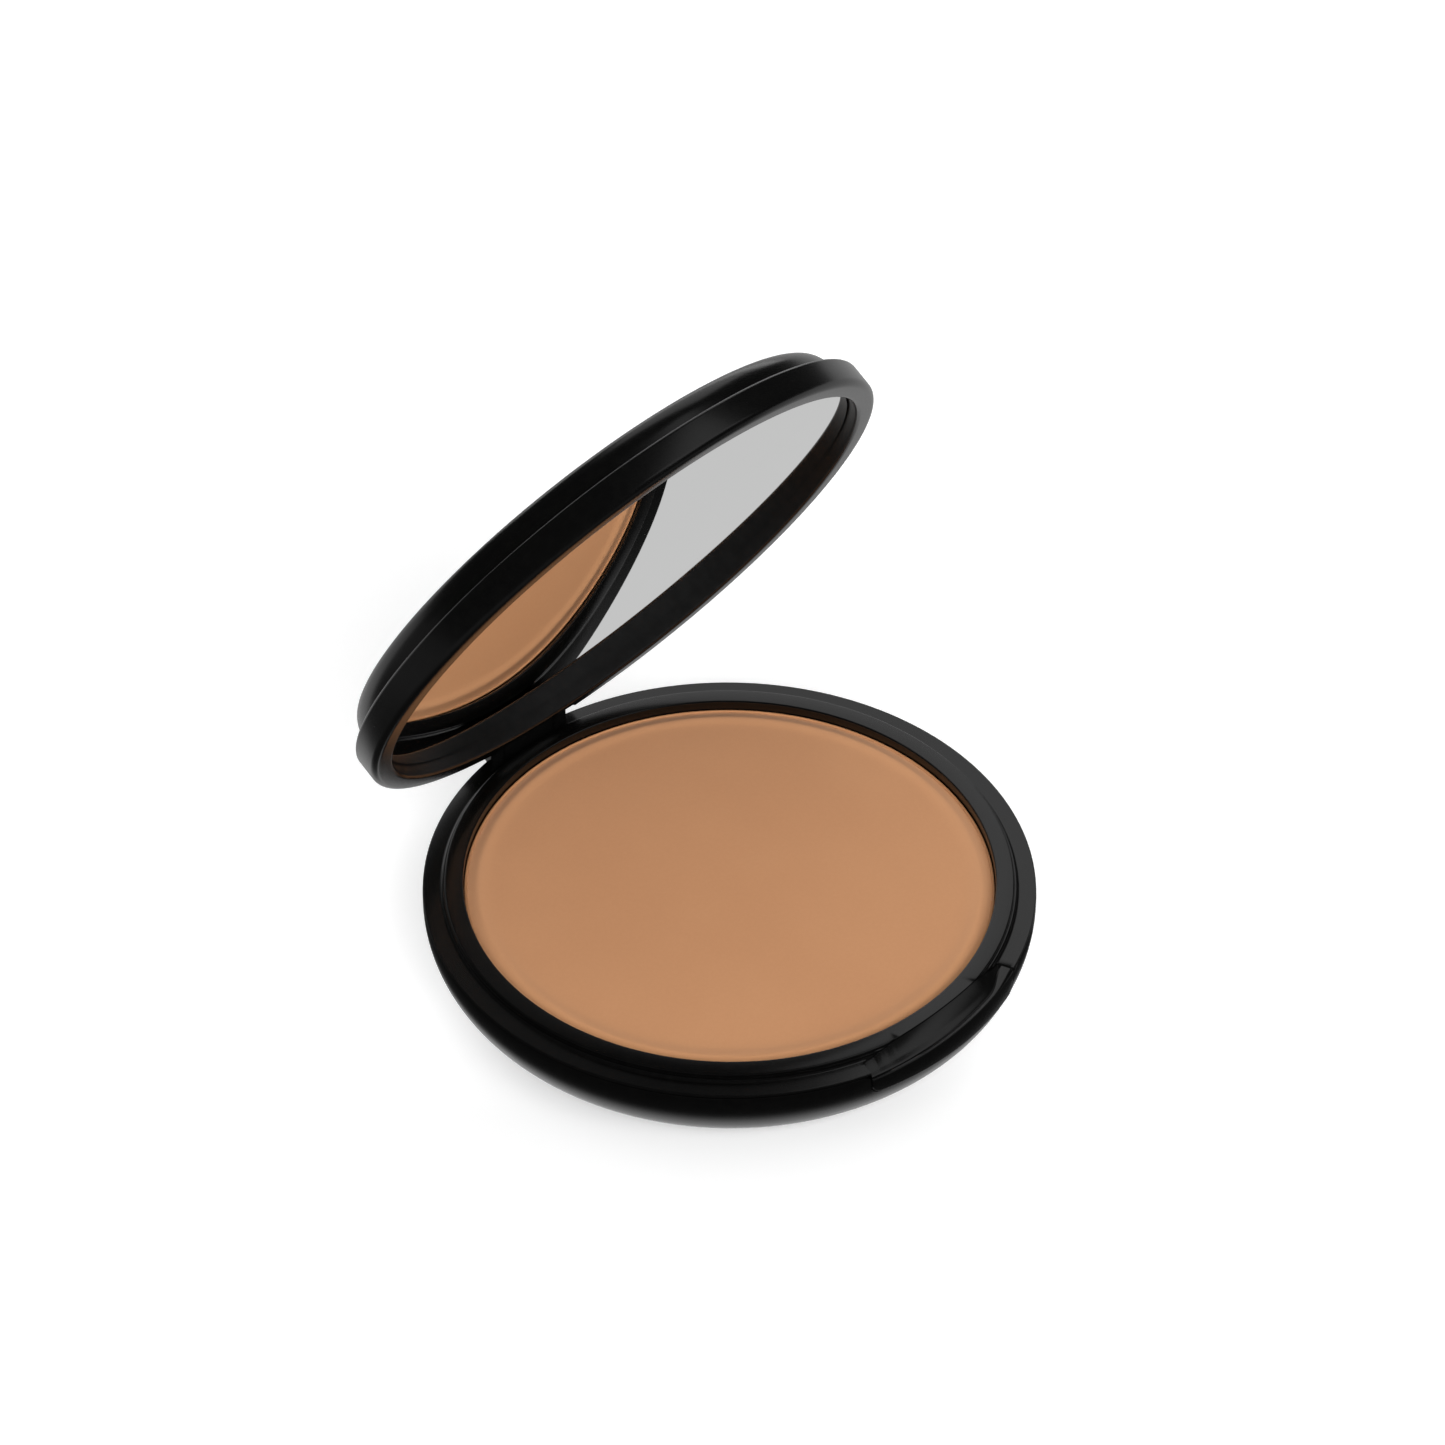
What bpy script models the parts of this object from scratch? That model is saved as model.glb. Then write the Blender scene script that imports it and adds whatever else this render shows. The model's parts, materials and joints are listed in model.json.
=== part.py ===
"""Powder compact: a round case with a hinged mirror lid, standing open on its flat foot.

The base centre line is the Z axis, the foot rests on Z = 0, the hinge is at +Y and the
thumb notch at -Y. Lengths below are millimetres, and MM turns them into Blender's metres.
"""

import math

import bmesh
import bpy
from mathutils import Vector

MM = 0.001

# Powder pan, which the case is built round
PAN_R = 29.5
PAN_H = 4.2
PAN_WALL = 0.3
PAN_FLOOR = 0.4
PAN_FOOT_ROUND = 0.4
PAN_RIM_DROP = 0.25    # pan rim below the ledge
GLUE_R = 11.0
GLUE_T = 0.25
CAKE_GAP = 0.1
BORDER_W = 2.6         # raised border of the pressed powder
BORDER_H = 0.22
VALLEY_W = 0.7         # slope from the border's foot up to the flat middle
VALLEY_H = 0.07

# Clearances
FIT = 0.3              # between pieces that fit in each other
BOND_GAP = 0.15        # on each side of glue, tape and label
BORE_CLEARANCE = 0.08  # round the hinge pin
RIM_CLEARANCE = 0.4    # between the collar and the closed lid's opening
RIM_GAP = 0.25         # closed lid's rim face above the ledge

# Base frame
FLOOR_WALL = 1.2
UNDER_ROOM = 3.5       # well's underside above the table
WELL_WALL = 1.1
WELL_EDGE_ROUND = 0.3
WELL_FOOT_ROUND = 1.5
PUSH_HOLE_R = 2.5      # hole in the well floor for pushing the pan out
COLLAR_W = 1.8
COLLAR_H = 0.9         # collar that stands up inside the closed lid
COLLAR_ROUND = 0.35
BEAD_PROUD = 0.12      # snap bead half way up the collar
LEDGE_W = 2.7
LEDGE_ROUND = 0.6
RING_H = 0.85          # visible band of the frame above the bowl
SKIRT_H = 1.95         # frame skirt that drops inside the bowl

# Bowl and label
BOWL_INSET = 0.05
BOWL_WALL = 1.3
BOWL_FLOOR = 1.2
BOWL_RIM_ROUND = 0.2
SIDE_TOP_DROP = 0.35   # straight stretch of the bowl's side under its rim
SIDE_REACH = 8.25      # from the foot's edge out to the widest point
FOOT_W = 4.5
LABEL_T = 0.2
LABEL_MARGIN = 1.5     # recess round the label

# Lid, with heights above its rim face
LID_OVERHANG = 0.5
RIM_INNER_ROUND = 0.25
RIM_OUTER_ROUND = 0.8
FLANGE_H = 3.65
FLANGE_W = 1.6
FLANGE_ROUND = 0.4
COVER_WALL = 1.2
COVER_ROOF = 1.3
COVER_EDGE_ROUND = 1.6
COVER_INNER_ROUND = 0.4
BEZEL_H = 1.8          # front face of the mirror frame
BEZEL_BACK = 0.5       # from that face to the seat that the cover stands over
BEZEL_SLOPE_H = 1.15
BEZEL_W = 1.5
BEZEL_FLAT = 0.25      # flat rim outside the slope
BEZEL_ROUND = 0.1
MIRROR_T = 1.3
MIRROR_EDGE_GAP = 0.5
TAPE_T = 0.85
TAPE_INSET = 6.5

# Hinge
OPEN_ANGLE = math.radians(62.7)
KNUCKLE_R = 1.4
KNUCKLE_LIFT = 1.42    # knuckle's underside above the ledge
KNUCKLE_W = 1.8
BARREL_STEP = 0.15     # slimmer middle of the base's hinge block
CHEEK_W = 1.9
BLOCK_HALF = 5.8
BLOCK_SINK = 0.6       # block's root below the ledge
BLOCK_BACK_INSET = 0.4
PIN_R = 0.55
PIN_INSET = 0.2

# Thumb notch
THUMB_TURN = math.radians(2.0)
THUMB_HALF = math.radians(19.9)
TAB_PROUD = 0.1
TAB_DROP = 3.2         # tab's lower edge below the ledge
TAB_CORNER = 1.4
SCOOP_BITE = 0.6       # depth that the scoop's straight wall cuts into the collar
SCOOP_DEPTH = 0.8
SCOOP_REACH = 1.0      # cutter's run beyond the tab
SCOOP_END_POWER = 6    # how sharply the scoop's ends sweep up
VALLEY_DROP = 0.15
LIP_R = 0.65
LIP_DROP = 0.4         # top of the rounded lip below the ledge
LIP_START = math.radians(165.0)

# Mesh fineness
ROUND_STEPS = 48
FILLET_STEPS = 3
SIDE_STEPS = 9         # curved side of the bowl
CREST_STEPS = 6        # powder's border
SCOOP_STEPS = 12
LIP_STEPS = 5
ARCH_STEPS = 8
ROD_STEPS = 20
WELD = 1e-6
SMOOTH_ANGLE = math.radians(35.0)

# Heights of the base, from the table up
FRAME_BOTTOM = UNDER_ROOM
WELL_FLOOR = FRAME_BOTTOM + FLOOR_WALL
PAN_BOTTOM = WELL_FLOOR + GLUE_T + 2 * BOND_GAP
PAN_TOP = PAN_BOTTOM + PAN_H
LEDGE_Z = PAN_TOP + PAN_RIM_DROP
COLLAR_TOP = LEDGE_Z + COLLAR_H
RING_BOTTOM = LEDGE_Z - RING_H
BOWL_TOP = RING_BOTTOM - FIT
RECESS_H = LABEL_T + BOND_GAP
RIM_Z = LEDGE_Z + RIM_GAP

# Radii, from the pan outwards
WELL_R = PAN_R + FIT
COLLAR_R = WELL_R + COLLAR_W
LEDGE_R = COLLAR_R + LEDGE_W
BOWL_R = LEDGE_R - BOWL_INSET
SKIRT_R = BOWL_R - BOWL_WALL - FIT
FOOT_R = BOWL_R - SIDE_REACH
RECESS_R = FOOT_R - FOOT_W
LABEL_R = RECESS_R - LABEL_MARGIN
TAB_R = LEDGE_R + TAB_PROUD
SCOOP_WALL_Y = COLLAR_R - SCOOP_BITE
LID_R = LEDGE_R + LID_OVERHANG
RIM_OPEN_R = COLLAR_R + RIM_CLEARANCE
SEAT_R = LID_R - FLANGE_W
COVER_R = SEAT_R - FIT
BEZEL_LIP_R = RIM_OPEN_R - BEZEL_W
TAPE_R = BEZEL_LIP_R - TAPE_INSET

# Heights of the lid above its rim face, and the hinge axis
SEAT_H = BEZEL_H + BEZEL_BACK
BEZEL_LIP_H = BEZEL_H + BEZEL_SLOPE_H
MIRROR_FRONT = BEZEL_LIP_H + FIT
COVER_CEILING = MIRROR_FRONT + MIRROR_T + TAPE_T + 2 * BOND_GAP
COVER_TOP = COVER_CEILING + COVER_ROOF
HINGE_Y = COVER_R + FIT + KNUCKLE_R
HINGE_Z = LEDGE_Z + KNUCKLE_LIFT + KNUCKLE_R
BARREL_R = KNUCKLE_R - BARREL_STEP
BARREL_HALF = BLOCK_HALF - CHEEK_W


def material(name, colour, roughness, metallic=0.0):
    """A plain finish for one piece."""
    finish = bpy.data.materials.new(name)
    finish.use_nodes = True
    shader = finish.node_tree.nodes["Principled BSDF"]
    shader.inputs["Base Color"].default_value = (*colour, 1.0)
    shader.inputs["Roughness"].default_value = roughness
    shader.inputs["Metallic"].default_value = metallic
    return finish


def arc(centre, radius, start, end, steps):
    """Points of a circular arc, with its angles in radians."""
    angles = (start + (end - start) * step / steps for step in range(steps + 1))
    return [(centre[0] + radius * math.cos(a), centre[1] + radius * math.sin(a)) for a in angles]


def outline(corners):
    """Points along an outline whose corners are (a, b) or (a, b, fillet radius)."""
    points = []
    for index, corner in enumerate(corners):
        here = Vector(corner[:2])
        if len(corner) == 2:
            points.append(tuple(here))
            continue
        before = (Vector(corners[index - 1][:2]) - here).normalized()
        after = (Vector(corners[(index + 1) % len(corners)][:2]) - here).normalized()
        half = before.angle(after) / 2
        centre = here + (before + after).normalized() * corner[2] / math.sin(half)
        start = here + before * corner[2] / math.tan(half) - centre
        end = here + after * corner[2] / math.tan(half) - centre
        for step in range(FILLET_STEPS + 1):
            spoke = start.lerp(end, step / FILLET_STEPS).normalized() * corner[2]
            points.append(tuple(centre + spoke))
    return points


def finished(name, mesh_builder, finish):
    """Turn a bmesh into a named object with smooth round faces and outward normals."""
    bmesh.ops.remove_doubles(mesh_builder, verts=mesh_builder.verts, dist=WELD)
    bmesh.ops.recalc_face_normals(mesh_builder, faces=mesh_builder.faces)
    mesh = bpy.data.meshes.new(name)
    mesh_builder.to_mesh(mesh)
    mesh_builder.free()
    mesh.shade_smooth()
    mesh.set_sharp_from_angle(angle=SMOOTH_ANGLE)
    if finish is not None:
        mesh.materials.append(finish)
    piece = bpy.data.objects.new(name, mesh)
    bpy.context.scene.collection.objects.link(piece)
    return piece


def turned(name, points, finish):
    """Spin an outline of (radius, height) about Z; two points at radius 0 leave it open there."""
    build = bmesh.new()
    ring = [build.verts.new((radius * MM, 0.0, height * MM)) for radius, height in points]
    edges = []
    for index, vertex in enumerate(ring):
        if points[index - 1][0] > 0.0 or points[index][0] > 0.0:
            edges.append(build.edges.new((ring[index - 1], vertex)))
    bmesh.ops.spin(build, geom=ring + edges, cent=(0, 0, 0), axis=(0, 0, 1),
                   angle=2 * math.pi, steps=ROUND_STEPS, use_merge=True)
    return finished(name, build, finish)


def loft(name, sections, finish=None):
    """Skin a row of equal loops of (x, y, z) points and close both ends."""
    build = bmesh.new()
    loops = [[build.verts.new(Vector(point) * MM) for point in section] for section in sections]
    for near, far in zip(loops, loops[1:]):
        for index in range(len(near)):
            build.faces.new((near[index - 1], near[index], far[index], far[index - 1]))
    build.faces.new(loops[0])
    build.faces.new(loops[-1])
    return finished(name, build, finish)


def rod(name, radius, start, end, finish=None):
    """A round rod along X on the hinge axis."""
    circle = arc((HINGE_Y, HINGE_Z), radius, 0.0, 2 * math.pi, ROD_STEPS)[:-1]
    return loft(name, [[(x, y, z) for y, z in circle] for x in (start, end)], finish)


def combine(piece, tool, operation):
    """Join a piece with a tool or cut it; the tool itself is a guide and not a piece."""
    modifier = piece.modifiers.new(tool.name, "BOOLEAN")
    modifier.operation = operation
    modifier.object = tool
    modifier.solver = "EXACT"
    tool.hide_render = True
    tool.display_type = "WIRE"


def thumb_tab(name, clearance=0.0):
    """The curved tab under the thumb notch, or the opening for it when given a clearance."""
    low = LEDGE_Z - TAB_DROP - clearance
    high = LEDGE_Z - RING_H / 2 + clearance
    inner = SKIRT_R - FIT - 2 * clearance
    outer = TAB_R + 2 * clearance
    half = THUMB_HALF + clearance / TAB_R
    corner = TAB_CORNER / TAB_R
    bend = [math.pi / 2 * step / FILLET_STEPS for step in range(FILLET_STEPS + 1)]
    turns = [half - corner * (1 - math.cos(angle)) for angle in bend]
    lifts = [TAB_CORNER * (1 - math.sin(angle)) for angle in bend]
    flat = (half - corner) / 3
    stations = list(zip(turns, lifts)) + [(flat, 0.0), (-flat, 0.0)]
    stations += [(-turn, lift) for turn, lift in zip(reversed(turns), reversed(lifts))]
    sections = []
    for turn, lift in stations:
        across, along = math.sin(turn), -math.cos(turn)
        loop = ((inner, low + lift), (outer, low + lift), (outer, high), (inner, high))
        sections.append([(radius * across, radius * along, z) for radius, z in loop])
    tab = loft(name, sections)
    tab.rotation_euler.z = THUMB_TURN
    return tab


def thumb_scoop(name):
    """The air above the thumb notch: a straight inner wall, a shallow floor and a rounded lip."""
    sections = []
    high = COLLAR_TOP + FIT
    reach = TAB_R + SCOOP_REACH
    for step in range(SCOOP_STEPS + 1):
        share = 2 * step / SCOOP_STEPS - 1
        turn = THUMB_HALF * share
        rise = LIP_DROP * share ** SCOOP_END_POWER
        wall = SCOOP_WALL_Y / math.cos(turn)
        lip = TAB_R - LIP_R
        lip_z = LEDGE_Z - LIP_DROP - LIP_R + rise
        floor_z = LEDGE_Z - SCOOP_DEPTH + rise
        valley = (wall + lip - LIP_R) / 2
        loop = [(wall, high), (wall, floor_z), (valley, floor_z - VALLEY_DROP)]
        loop += arc((lip, lip_z), LIP_R, LIP_START, 0.0, LIP_STEPS)
        loop += [(reach, lip_z), (reach, high)]
        sections.append([(r * math.sin(turn), -r * math.cos(turn), z) for r, z in loop])
    scoop = loft(name, sections)
    scoop.rotation_euler.z = THUMB_TURN
    return scoop


def hinge_block(name):
    """The base's hinge block: a slim barrel between two cheeks, rising from the ledge."""
    sections = []
    root = LEDGE_Z - BLOCK_SINK
    step = KNUCKLE_R - BARREL_R
    widths = ((-BLOCK_HALF, KNUCKLE_R), (-BARREL_HALF, KNUCKLE_R), (-BARREL_HALF + step, BARREL_R),
              (BARREL_HALF - step, BARREL_R), (BARREL_HALF, KNUCKLE_R), (BLOCK_HALF, KNUCKLE_R))
    for x, radius in widths:
        arch = arc((HINGE_Y, HINGE_Z), radius, math.pi, 0.0, ARCH_STEPS)
        back = HINGE_Y + radius
        loop = arch + [(back, LEDGE_Z + COLLAR_H), (LEDGE_R - BLOCK_BACK_INSET, root)]
        loop += [(HINGE_Y - radius, root)]
        sections.append([(x, y, z) for y, z in loop])
    return loft(name, sections)


def base_frame(finish):
    """Ledge, collar, pan well, hinge block and thumb notch, in one moulding."""
    bead_z = LEDGE_Z + COLLAR_H / 2
    profile = outline((
        (PUSH_HOLE_R, WELL_FLOOR),
        (WELL_R, WELL_FLOOR),
        (WELL_R, COLLAR_TOP, WELL_EDGE_ROUND),
        (COLLAR_R, COLLAR_TOP, COLLAR_ROUND),
        (COLLAR_R, bead_z + BEAD_PROUD),
        (COLLAR_R + BEAD_PROUD, bead_z),
        (COLLAR_R, bead_z - BEAD_PROUD),
        (COLLAR_R, LEDGE_Z),
        (LEDGE_R, LEDGE_Z, LEDGE_ROUND),
        (LEDGE_R, RING_BOTTOM),
        (SKIRT_R, RING_BOTTOM),
        (SKIRT_R, RING_BOTTOM - SKIRT_H),
        (WELL_R + WELL_WALL, RING_BOTTOM - SKIRT_H),
        (WELL_R + WELL_WALL, FRAME_BOTTOM, WELL_FOOT_ROUND),
        (PUSH_HOLE_R, FRAME_BOTTOM),
    ))
    frame = turned("base_frame", profile, finish)
    combine(frame, thumb_tab("thumb_tab_guide"), "UNION")
    combine(frame, thumb_scoop("thumb_scoop_cutter"), "DIFFERENCE")
    combine(frame, hinge_block("hinge_block_guide"), "UNION")
    reach = BLOCK_HALF + KNUCKLE_W
    combine(frame, rod("base_bore_cutter", PIN_R + BORE_CLEARANCE, -reach, reach), "DIFFERENCE")
    return frame


def base_bowl(finish):
    """Bottom cover with a rounded side, a flat foot ring and an opening for the thumb tab."""
    side_top = BOWL_TOP - SIDE_TOP_DROP
    floor_top = RECESS_H + BOWL_FLOOR
    inner_reach = SIDE_REACH - BOWL_WALL
    turns = [math.pi / 2 * step / SIDE_STEPS for step in range(SIDE_STEPS + 1)]
    profile = [(0.0, RECESS_H), (RECESS_R, RECESS_H), (RECESS_R, 0.0)]
    profile += [(FOOT_R + SIDE_REACH * math.sin(t), side_top * (1 - math.cos(t))) for t in turns]
    profile += outline((
        (BOWL_R, side_top), (BOWL_R, BOWL_TOP, BOWL_RIM_ROUND), (BOWL_R - BOWL_WALL, BOWL_TOP)))[1:]
    inner_drop = side_top - floor_top
    profile += [(FOOT_R + inner_reach * math.sin(t), floor_top + inner_drop * (1 - math.cos(t)))
                for t in reversed(turns)]
    profile += [(0.0, floor_top)]
    bowl = turned("base_bowl", profile, finish)
    combine(bowl, thumb_tab("bowl_tab_cutter", FIT), "DIFFERENCE")
    return bowl


def powder_pan(finish):
    """Tinplate pan that holds the pressed powder."""
    inner = PAN_R - PAN_WALL
    return turned("powder_pan", outline((
        (0.0, PAN_BOTTOM), (PAN_R, PAN_BOTTOM, PAN_FOOT_ROUND), (PAN_R, PAN_TOP),
        (inner, PAN_TOP), (inner, PAN_BOTTOM + PAN_FLOOR), (0.0, PAN_BOTTOM + PAN_FLOOR))), finish)


def pressed_powder(finish):
    """Cake of powder with a raised round border and a faint valley inside it."""
    edge = PAN_R - PAN_WALL - CAKE_GAP
    low = PAN_BOTTOM + PAN_FLOOR + CAKE_GAP
    middle = edge - BORDER_W / 2
    crest = [(middle + BORDER_W / 2 * math.sin(t), PAN_TOP + BORDER_H * math.cos(t))
             for t in (math.pi * (0.5 - step / CREST_STEPS) for step in range(CREST_STEPS))]
    valley = edge - BORDER_W - VALLEY_W
    profile = [(0.0, low), (edge, low)] + crest
    profile += [(edge - BORDER_W, PAN_TOP + VALLEY_H), (valley, PAN_TOP + BORDER_H / 2)]
    profile += [(0.0, PAN_TOP + BORDER_H / 2)]
    return turned("pressed_powder", profile, finish)


def disc(name, radius, low, high, finish):
    """A flat round piece on the centre line."""
    return turned(name, [(0.0, low), (radius, low), (radius, high), (0.0, high)], finish)


def lid_ring(finish):
    """Lid ring with the rim face, a seat for the cover and two hinge knuckles."""
    ring = turned("lid_ring", outline((
        (RIM_OPEN_R, RIM_Z, RIM_INNER_ROUND),
        (LID_R, RIM_Z, RIM_OUTER_ROUND),
        (LID_R, RIM_Z + FLANGE_H, FLANGE_ROUND),
        (SEAT_R, RIM_Z + FLANGE_H),
        (SEAT_R, RIM_Z + SEAT_H),
        (RIM_OPEN_R, RIM_Z + SEAT_H),
    )), finish)
    arch_r = KNUCKLE_R + FIT
    half = BLOCK_HALF + FIT
    arch = arc((HINGE_Y, HINGE_Z), arch_r, math.pi, 0.0, ARCH_STEPS)
    arch += [(HINGE_Y + arch_r, LEDGE_Z), (HINGE_Y - arch_r, LEDGE_Z)]
    gap = loft("hinge_gap_cutter", [[(x, y, z) for y, z in arch] for x in (-half, half)])
    tools = [(gap, "DIFFERENCE")]
    for side, name in ((-1, "left_knuckle_guide"), (1, "right_knuckle_guide")):
        ends = (side * half, side * (half + KNUCKLE_W))
        tools.append((rod(name, KNUCKLE_R, *ends), "UNION"))
    reach = half + KNUCKLE_W + FIT
    bore = rod("lid_bore_cutter", PIN_R + BORE_CLEARANCE, -reach, reach)
    tools.append((bore, "DIFFERENCE"))
    for tool, operation in tools:
        combine(ring, tool, operation)
    return [ring] + [tool for tool, _ in tools]


def lid_cover(finish):
    """Raised round cover that closes the lid ring."""
    inner = COVER_R - COVER_WALL
    return turned("lid_cover", outline((
        (0.0, RIM_Z + COVER_TOP),
        (COVER_R, RIM_Z + COVER_TOP, COVER_EDGE_ROUND),
        (COVER_R, RIM_Z + SEAT_H + FIT),
        (inner, RIM_Z + SEAT_H + FIT),
        (inner, RIM_Z + COVER_CEILING, COVER_INNER_ROUND),
        (0.0, RIM_Z + COVER_CEILING))), finish)


def mirror_frame(finish):
    """Sloped ring that holds the mirror's edge."""
    outer = RIM_OPEN_R - FIT
    back_r = COVER_R - COVER_WALL - FIT
    return turned("mirror_frame", outline((
        (outer, RIM_Z + BEZEL_H, BEZEL_ROUND),
        (outer, RIM_Z + SEAT_H),
        (back_r, RIM_Z + SEAT_H),
        (back_r, RIM_Z + MIRROR_FRONT - BOND_GAP),
        (BEZEL_LIP_R, RIM_Z + MIRROR_FRONT - BOND_GAP),
        (BEZEL_LIP_R, RIM_Z + BEZEL_LIP_H),
        (outer - BEZEL_FLAT, RIM_Z + BEZEL_H),
    )), finish)


def build():
    """Make every piece and hang the lid on its hinge."""
    for old in list(bpy.data.objects):
        bpy.data.objects.remove(old)

    black = material("black_plastic", (0.012, 0.012, 0.013), 0.28)
    tan = material("pressed_powder", (0.45, 0.21, 0.10), 0.85)
    tin = material("tinplate", (0.72, 0.70, 0.66), 0.3, 1.0)
    steel = material("pin_steel", (0.62, 0.62, 0.63), 0.25, 1.0)
    silver = material("mirror_silver", (0.80, 0.81, 0.81), 0.02, 1.0)
    foam = material("tape_foam", (0.75, 0.74, 0.70), 0.9)
    glue = material("hot_glue", (0.70, 0.62, 0.45), 0.4)
    paper = material("label_paper", (0.70, 0.70, 0.69), 0.6)

    base_frame(black)
    base_bowl(black)
    powder_pan(tin)
    pressed_powder(tan)
    glue_low = WELL_FLOOR + BOND_GAP
    disc("pan_glue", GLUE_R, glue_low, glue_low + GLUE_T, glue)
    disc("base_label", LABEL_R, 0.0, LABEL_T, paper)
    pin_half = BLOCK_HALF + FIT + KNUCKLE_W - PIN_INSET
    rod("hinge_pin", PIN_R, -pin_half, pin_half, steel)

    hinge = bpy.data.objects.new("lid_hinge", None)
    bpy.context.scene.collection.objects.link(hinge)
    hinge.location = (0.0, HINGE_Y * MM, HINGE_Z * MM)
    hinge.rotation_euler.x = -OPEN_ANGLE

    mirror_low = RIM_Z + MIRROR_FRONT
    mirror_high = mirror_low + MIRROR_T
    mirror_r = COVER_R - COVER_WALL - MIRROR_EDGE_GAP
    tape_high = RIM_Z + COVER_CEILING - BOND_GAP
    lid_pieces = lid_ring(black) + [
        lid_cover(black),
        mirror_frame(black),
        disc("mirror_glass", mirror_r, mirror_low, mirror_high, silver),
        disc("mirror_tape", TAPE_R, mirror_high + BOND_GAP, tape_high, foam),
    ]
    for piece in lid_pieces:
        piece.parent = hinge
        piece.location = (0.0, -HINGE_Y * MM, -HINGE_Z * MM)


build()
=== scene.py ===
"""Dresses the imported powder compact: black moulded case, pressed powder, mirror and studio.

Sizes in the classes are millimetres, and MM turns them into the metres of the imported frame.
The base's centre line is Z, the hinge is at +Y and the thumb notch at -Y.
"""

import enum
import json
import logging
import math
from dataclasses import dataclass, field
from typing import Any, Callable, Iterable, Sequence, Union

import bmesh
import bpy
from mathutils import Matrix, Vector


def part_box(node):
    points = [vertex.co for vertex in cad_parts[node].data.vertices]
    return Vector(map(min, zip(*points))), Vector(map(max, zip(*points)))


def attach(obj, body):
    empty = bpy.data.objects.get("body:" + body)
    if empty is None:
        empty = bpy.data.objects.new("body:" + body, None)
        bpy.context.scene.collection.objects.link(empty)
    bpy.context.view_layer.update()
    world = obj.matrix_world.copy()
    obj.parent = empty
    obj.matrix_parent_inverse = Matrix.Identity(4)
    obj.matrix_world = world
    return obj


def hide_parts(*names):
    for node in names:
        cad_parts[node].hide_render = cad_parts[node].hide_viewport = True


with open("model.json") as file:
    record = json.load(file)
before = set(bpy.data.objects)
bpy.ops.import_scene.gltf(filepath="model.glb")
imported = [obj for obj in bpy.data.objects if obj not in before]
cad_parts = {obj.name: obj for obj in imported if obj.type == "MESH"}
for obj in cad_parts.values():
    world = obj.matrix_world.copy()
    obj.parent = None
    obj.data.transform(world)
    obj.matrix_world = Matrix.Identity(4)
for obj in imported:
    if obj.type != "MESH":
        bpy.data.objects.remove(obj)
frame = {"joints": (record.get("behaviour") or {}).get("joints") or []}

MM = 0.001
QUARTER = math.pi / 2
WELD_MM = 0.0005
LOG = logging.getLogger("powder_compact")
Corner = tuple[float, ...]
Outline = list[tuple[float, float]]
Number = Union[float, "Signal"]
Colour = tuple[float, float, float]
Grain = tuple[float, float, float]
Span = tuple[float, float]


class Body(enum.Enum):
    """The two rigid bodies of the compact."""

    BASE = "base"
    LID = "lid"


class Slot(enum.Enum):
    """Material slots that the record names."""

    CASE = "case_plastic"
    POWDER = "powder"
    PAN = "pan_tinplate"
    PIN = "pin_steel"
    MIRROR = "mirror"
    TAPE = "foam_tape"
    GLUE = "glue"
    LABEL = "label"


# ---------------------------------------------------------------- shader arithmetic


class Signal:
    """A shader socket that Python arithmetic can be written with."""

    def __init__(self, bench: "Bench", socket: bpy.types.NodeSocket) -> None:
        """Wrap one output socket of the bench's tree."""
        self.bench = bench
        self.socket = socket

    def __add__(self, other: Number) -> "Signal":
        """Sum."""
        return self.bench.maths("ADD", self, other)

    __radd__ = __add__

    def __mul__(self, other: Number) -> "Signal":
        """Product."""
        return self.bench.maths("MULTIPLY", self, other)

    __rmul__ = __mul__

    def __sub__(self, other: Number) -> "Signal":
        """Difference."""
        return self.bench.maths("SUBTRACT", self, other)

    def __rsub__(self, other: Number) -> "Signal":
        """Difference the other way round."""
        return self.bench.maths("SUBTRACT", other, self)

    def __pow__(self, other: Number) -> "Signal":
        """Power."""
        return self.bench.maths("POWER", self, other)

    def ramp(self, low: float, high: float) -> "Signal":
        """A smooth step of this signal.

        Args:
            low: value where the step starts, at 0.
            high: value where it ends, at 1.

        Returns:
            The step, from 0 to 1.
        """
        node = self.bench.node("ShaderNodeMapRange", {"interpolation_type": "SMOOTHSTEP"},
                               {"Value": self, "From Min": low, "From Max": high})
        return Signal(self.bench, node.outputs["Result"])


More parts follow.
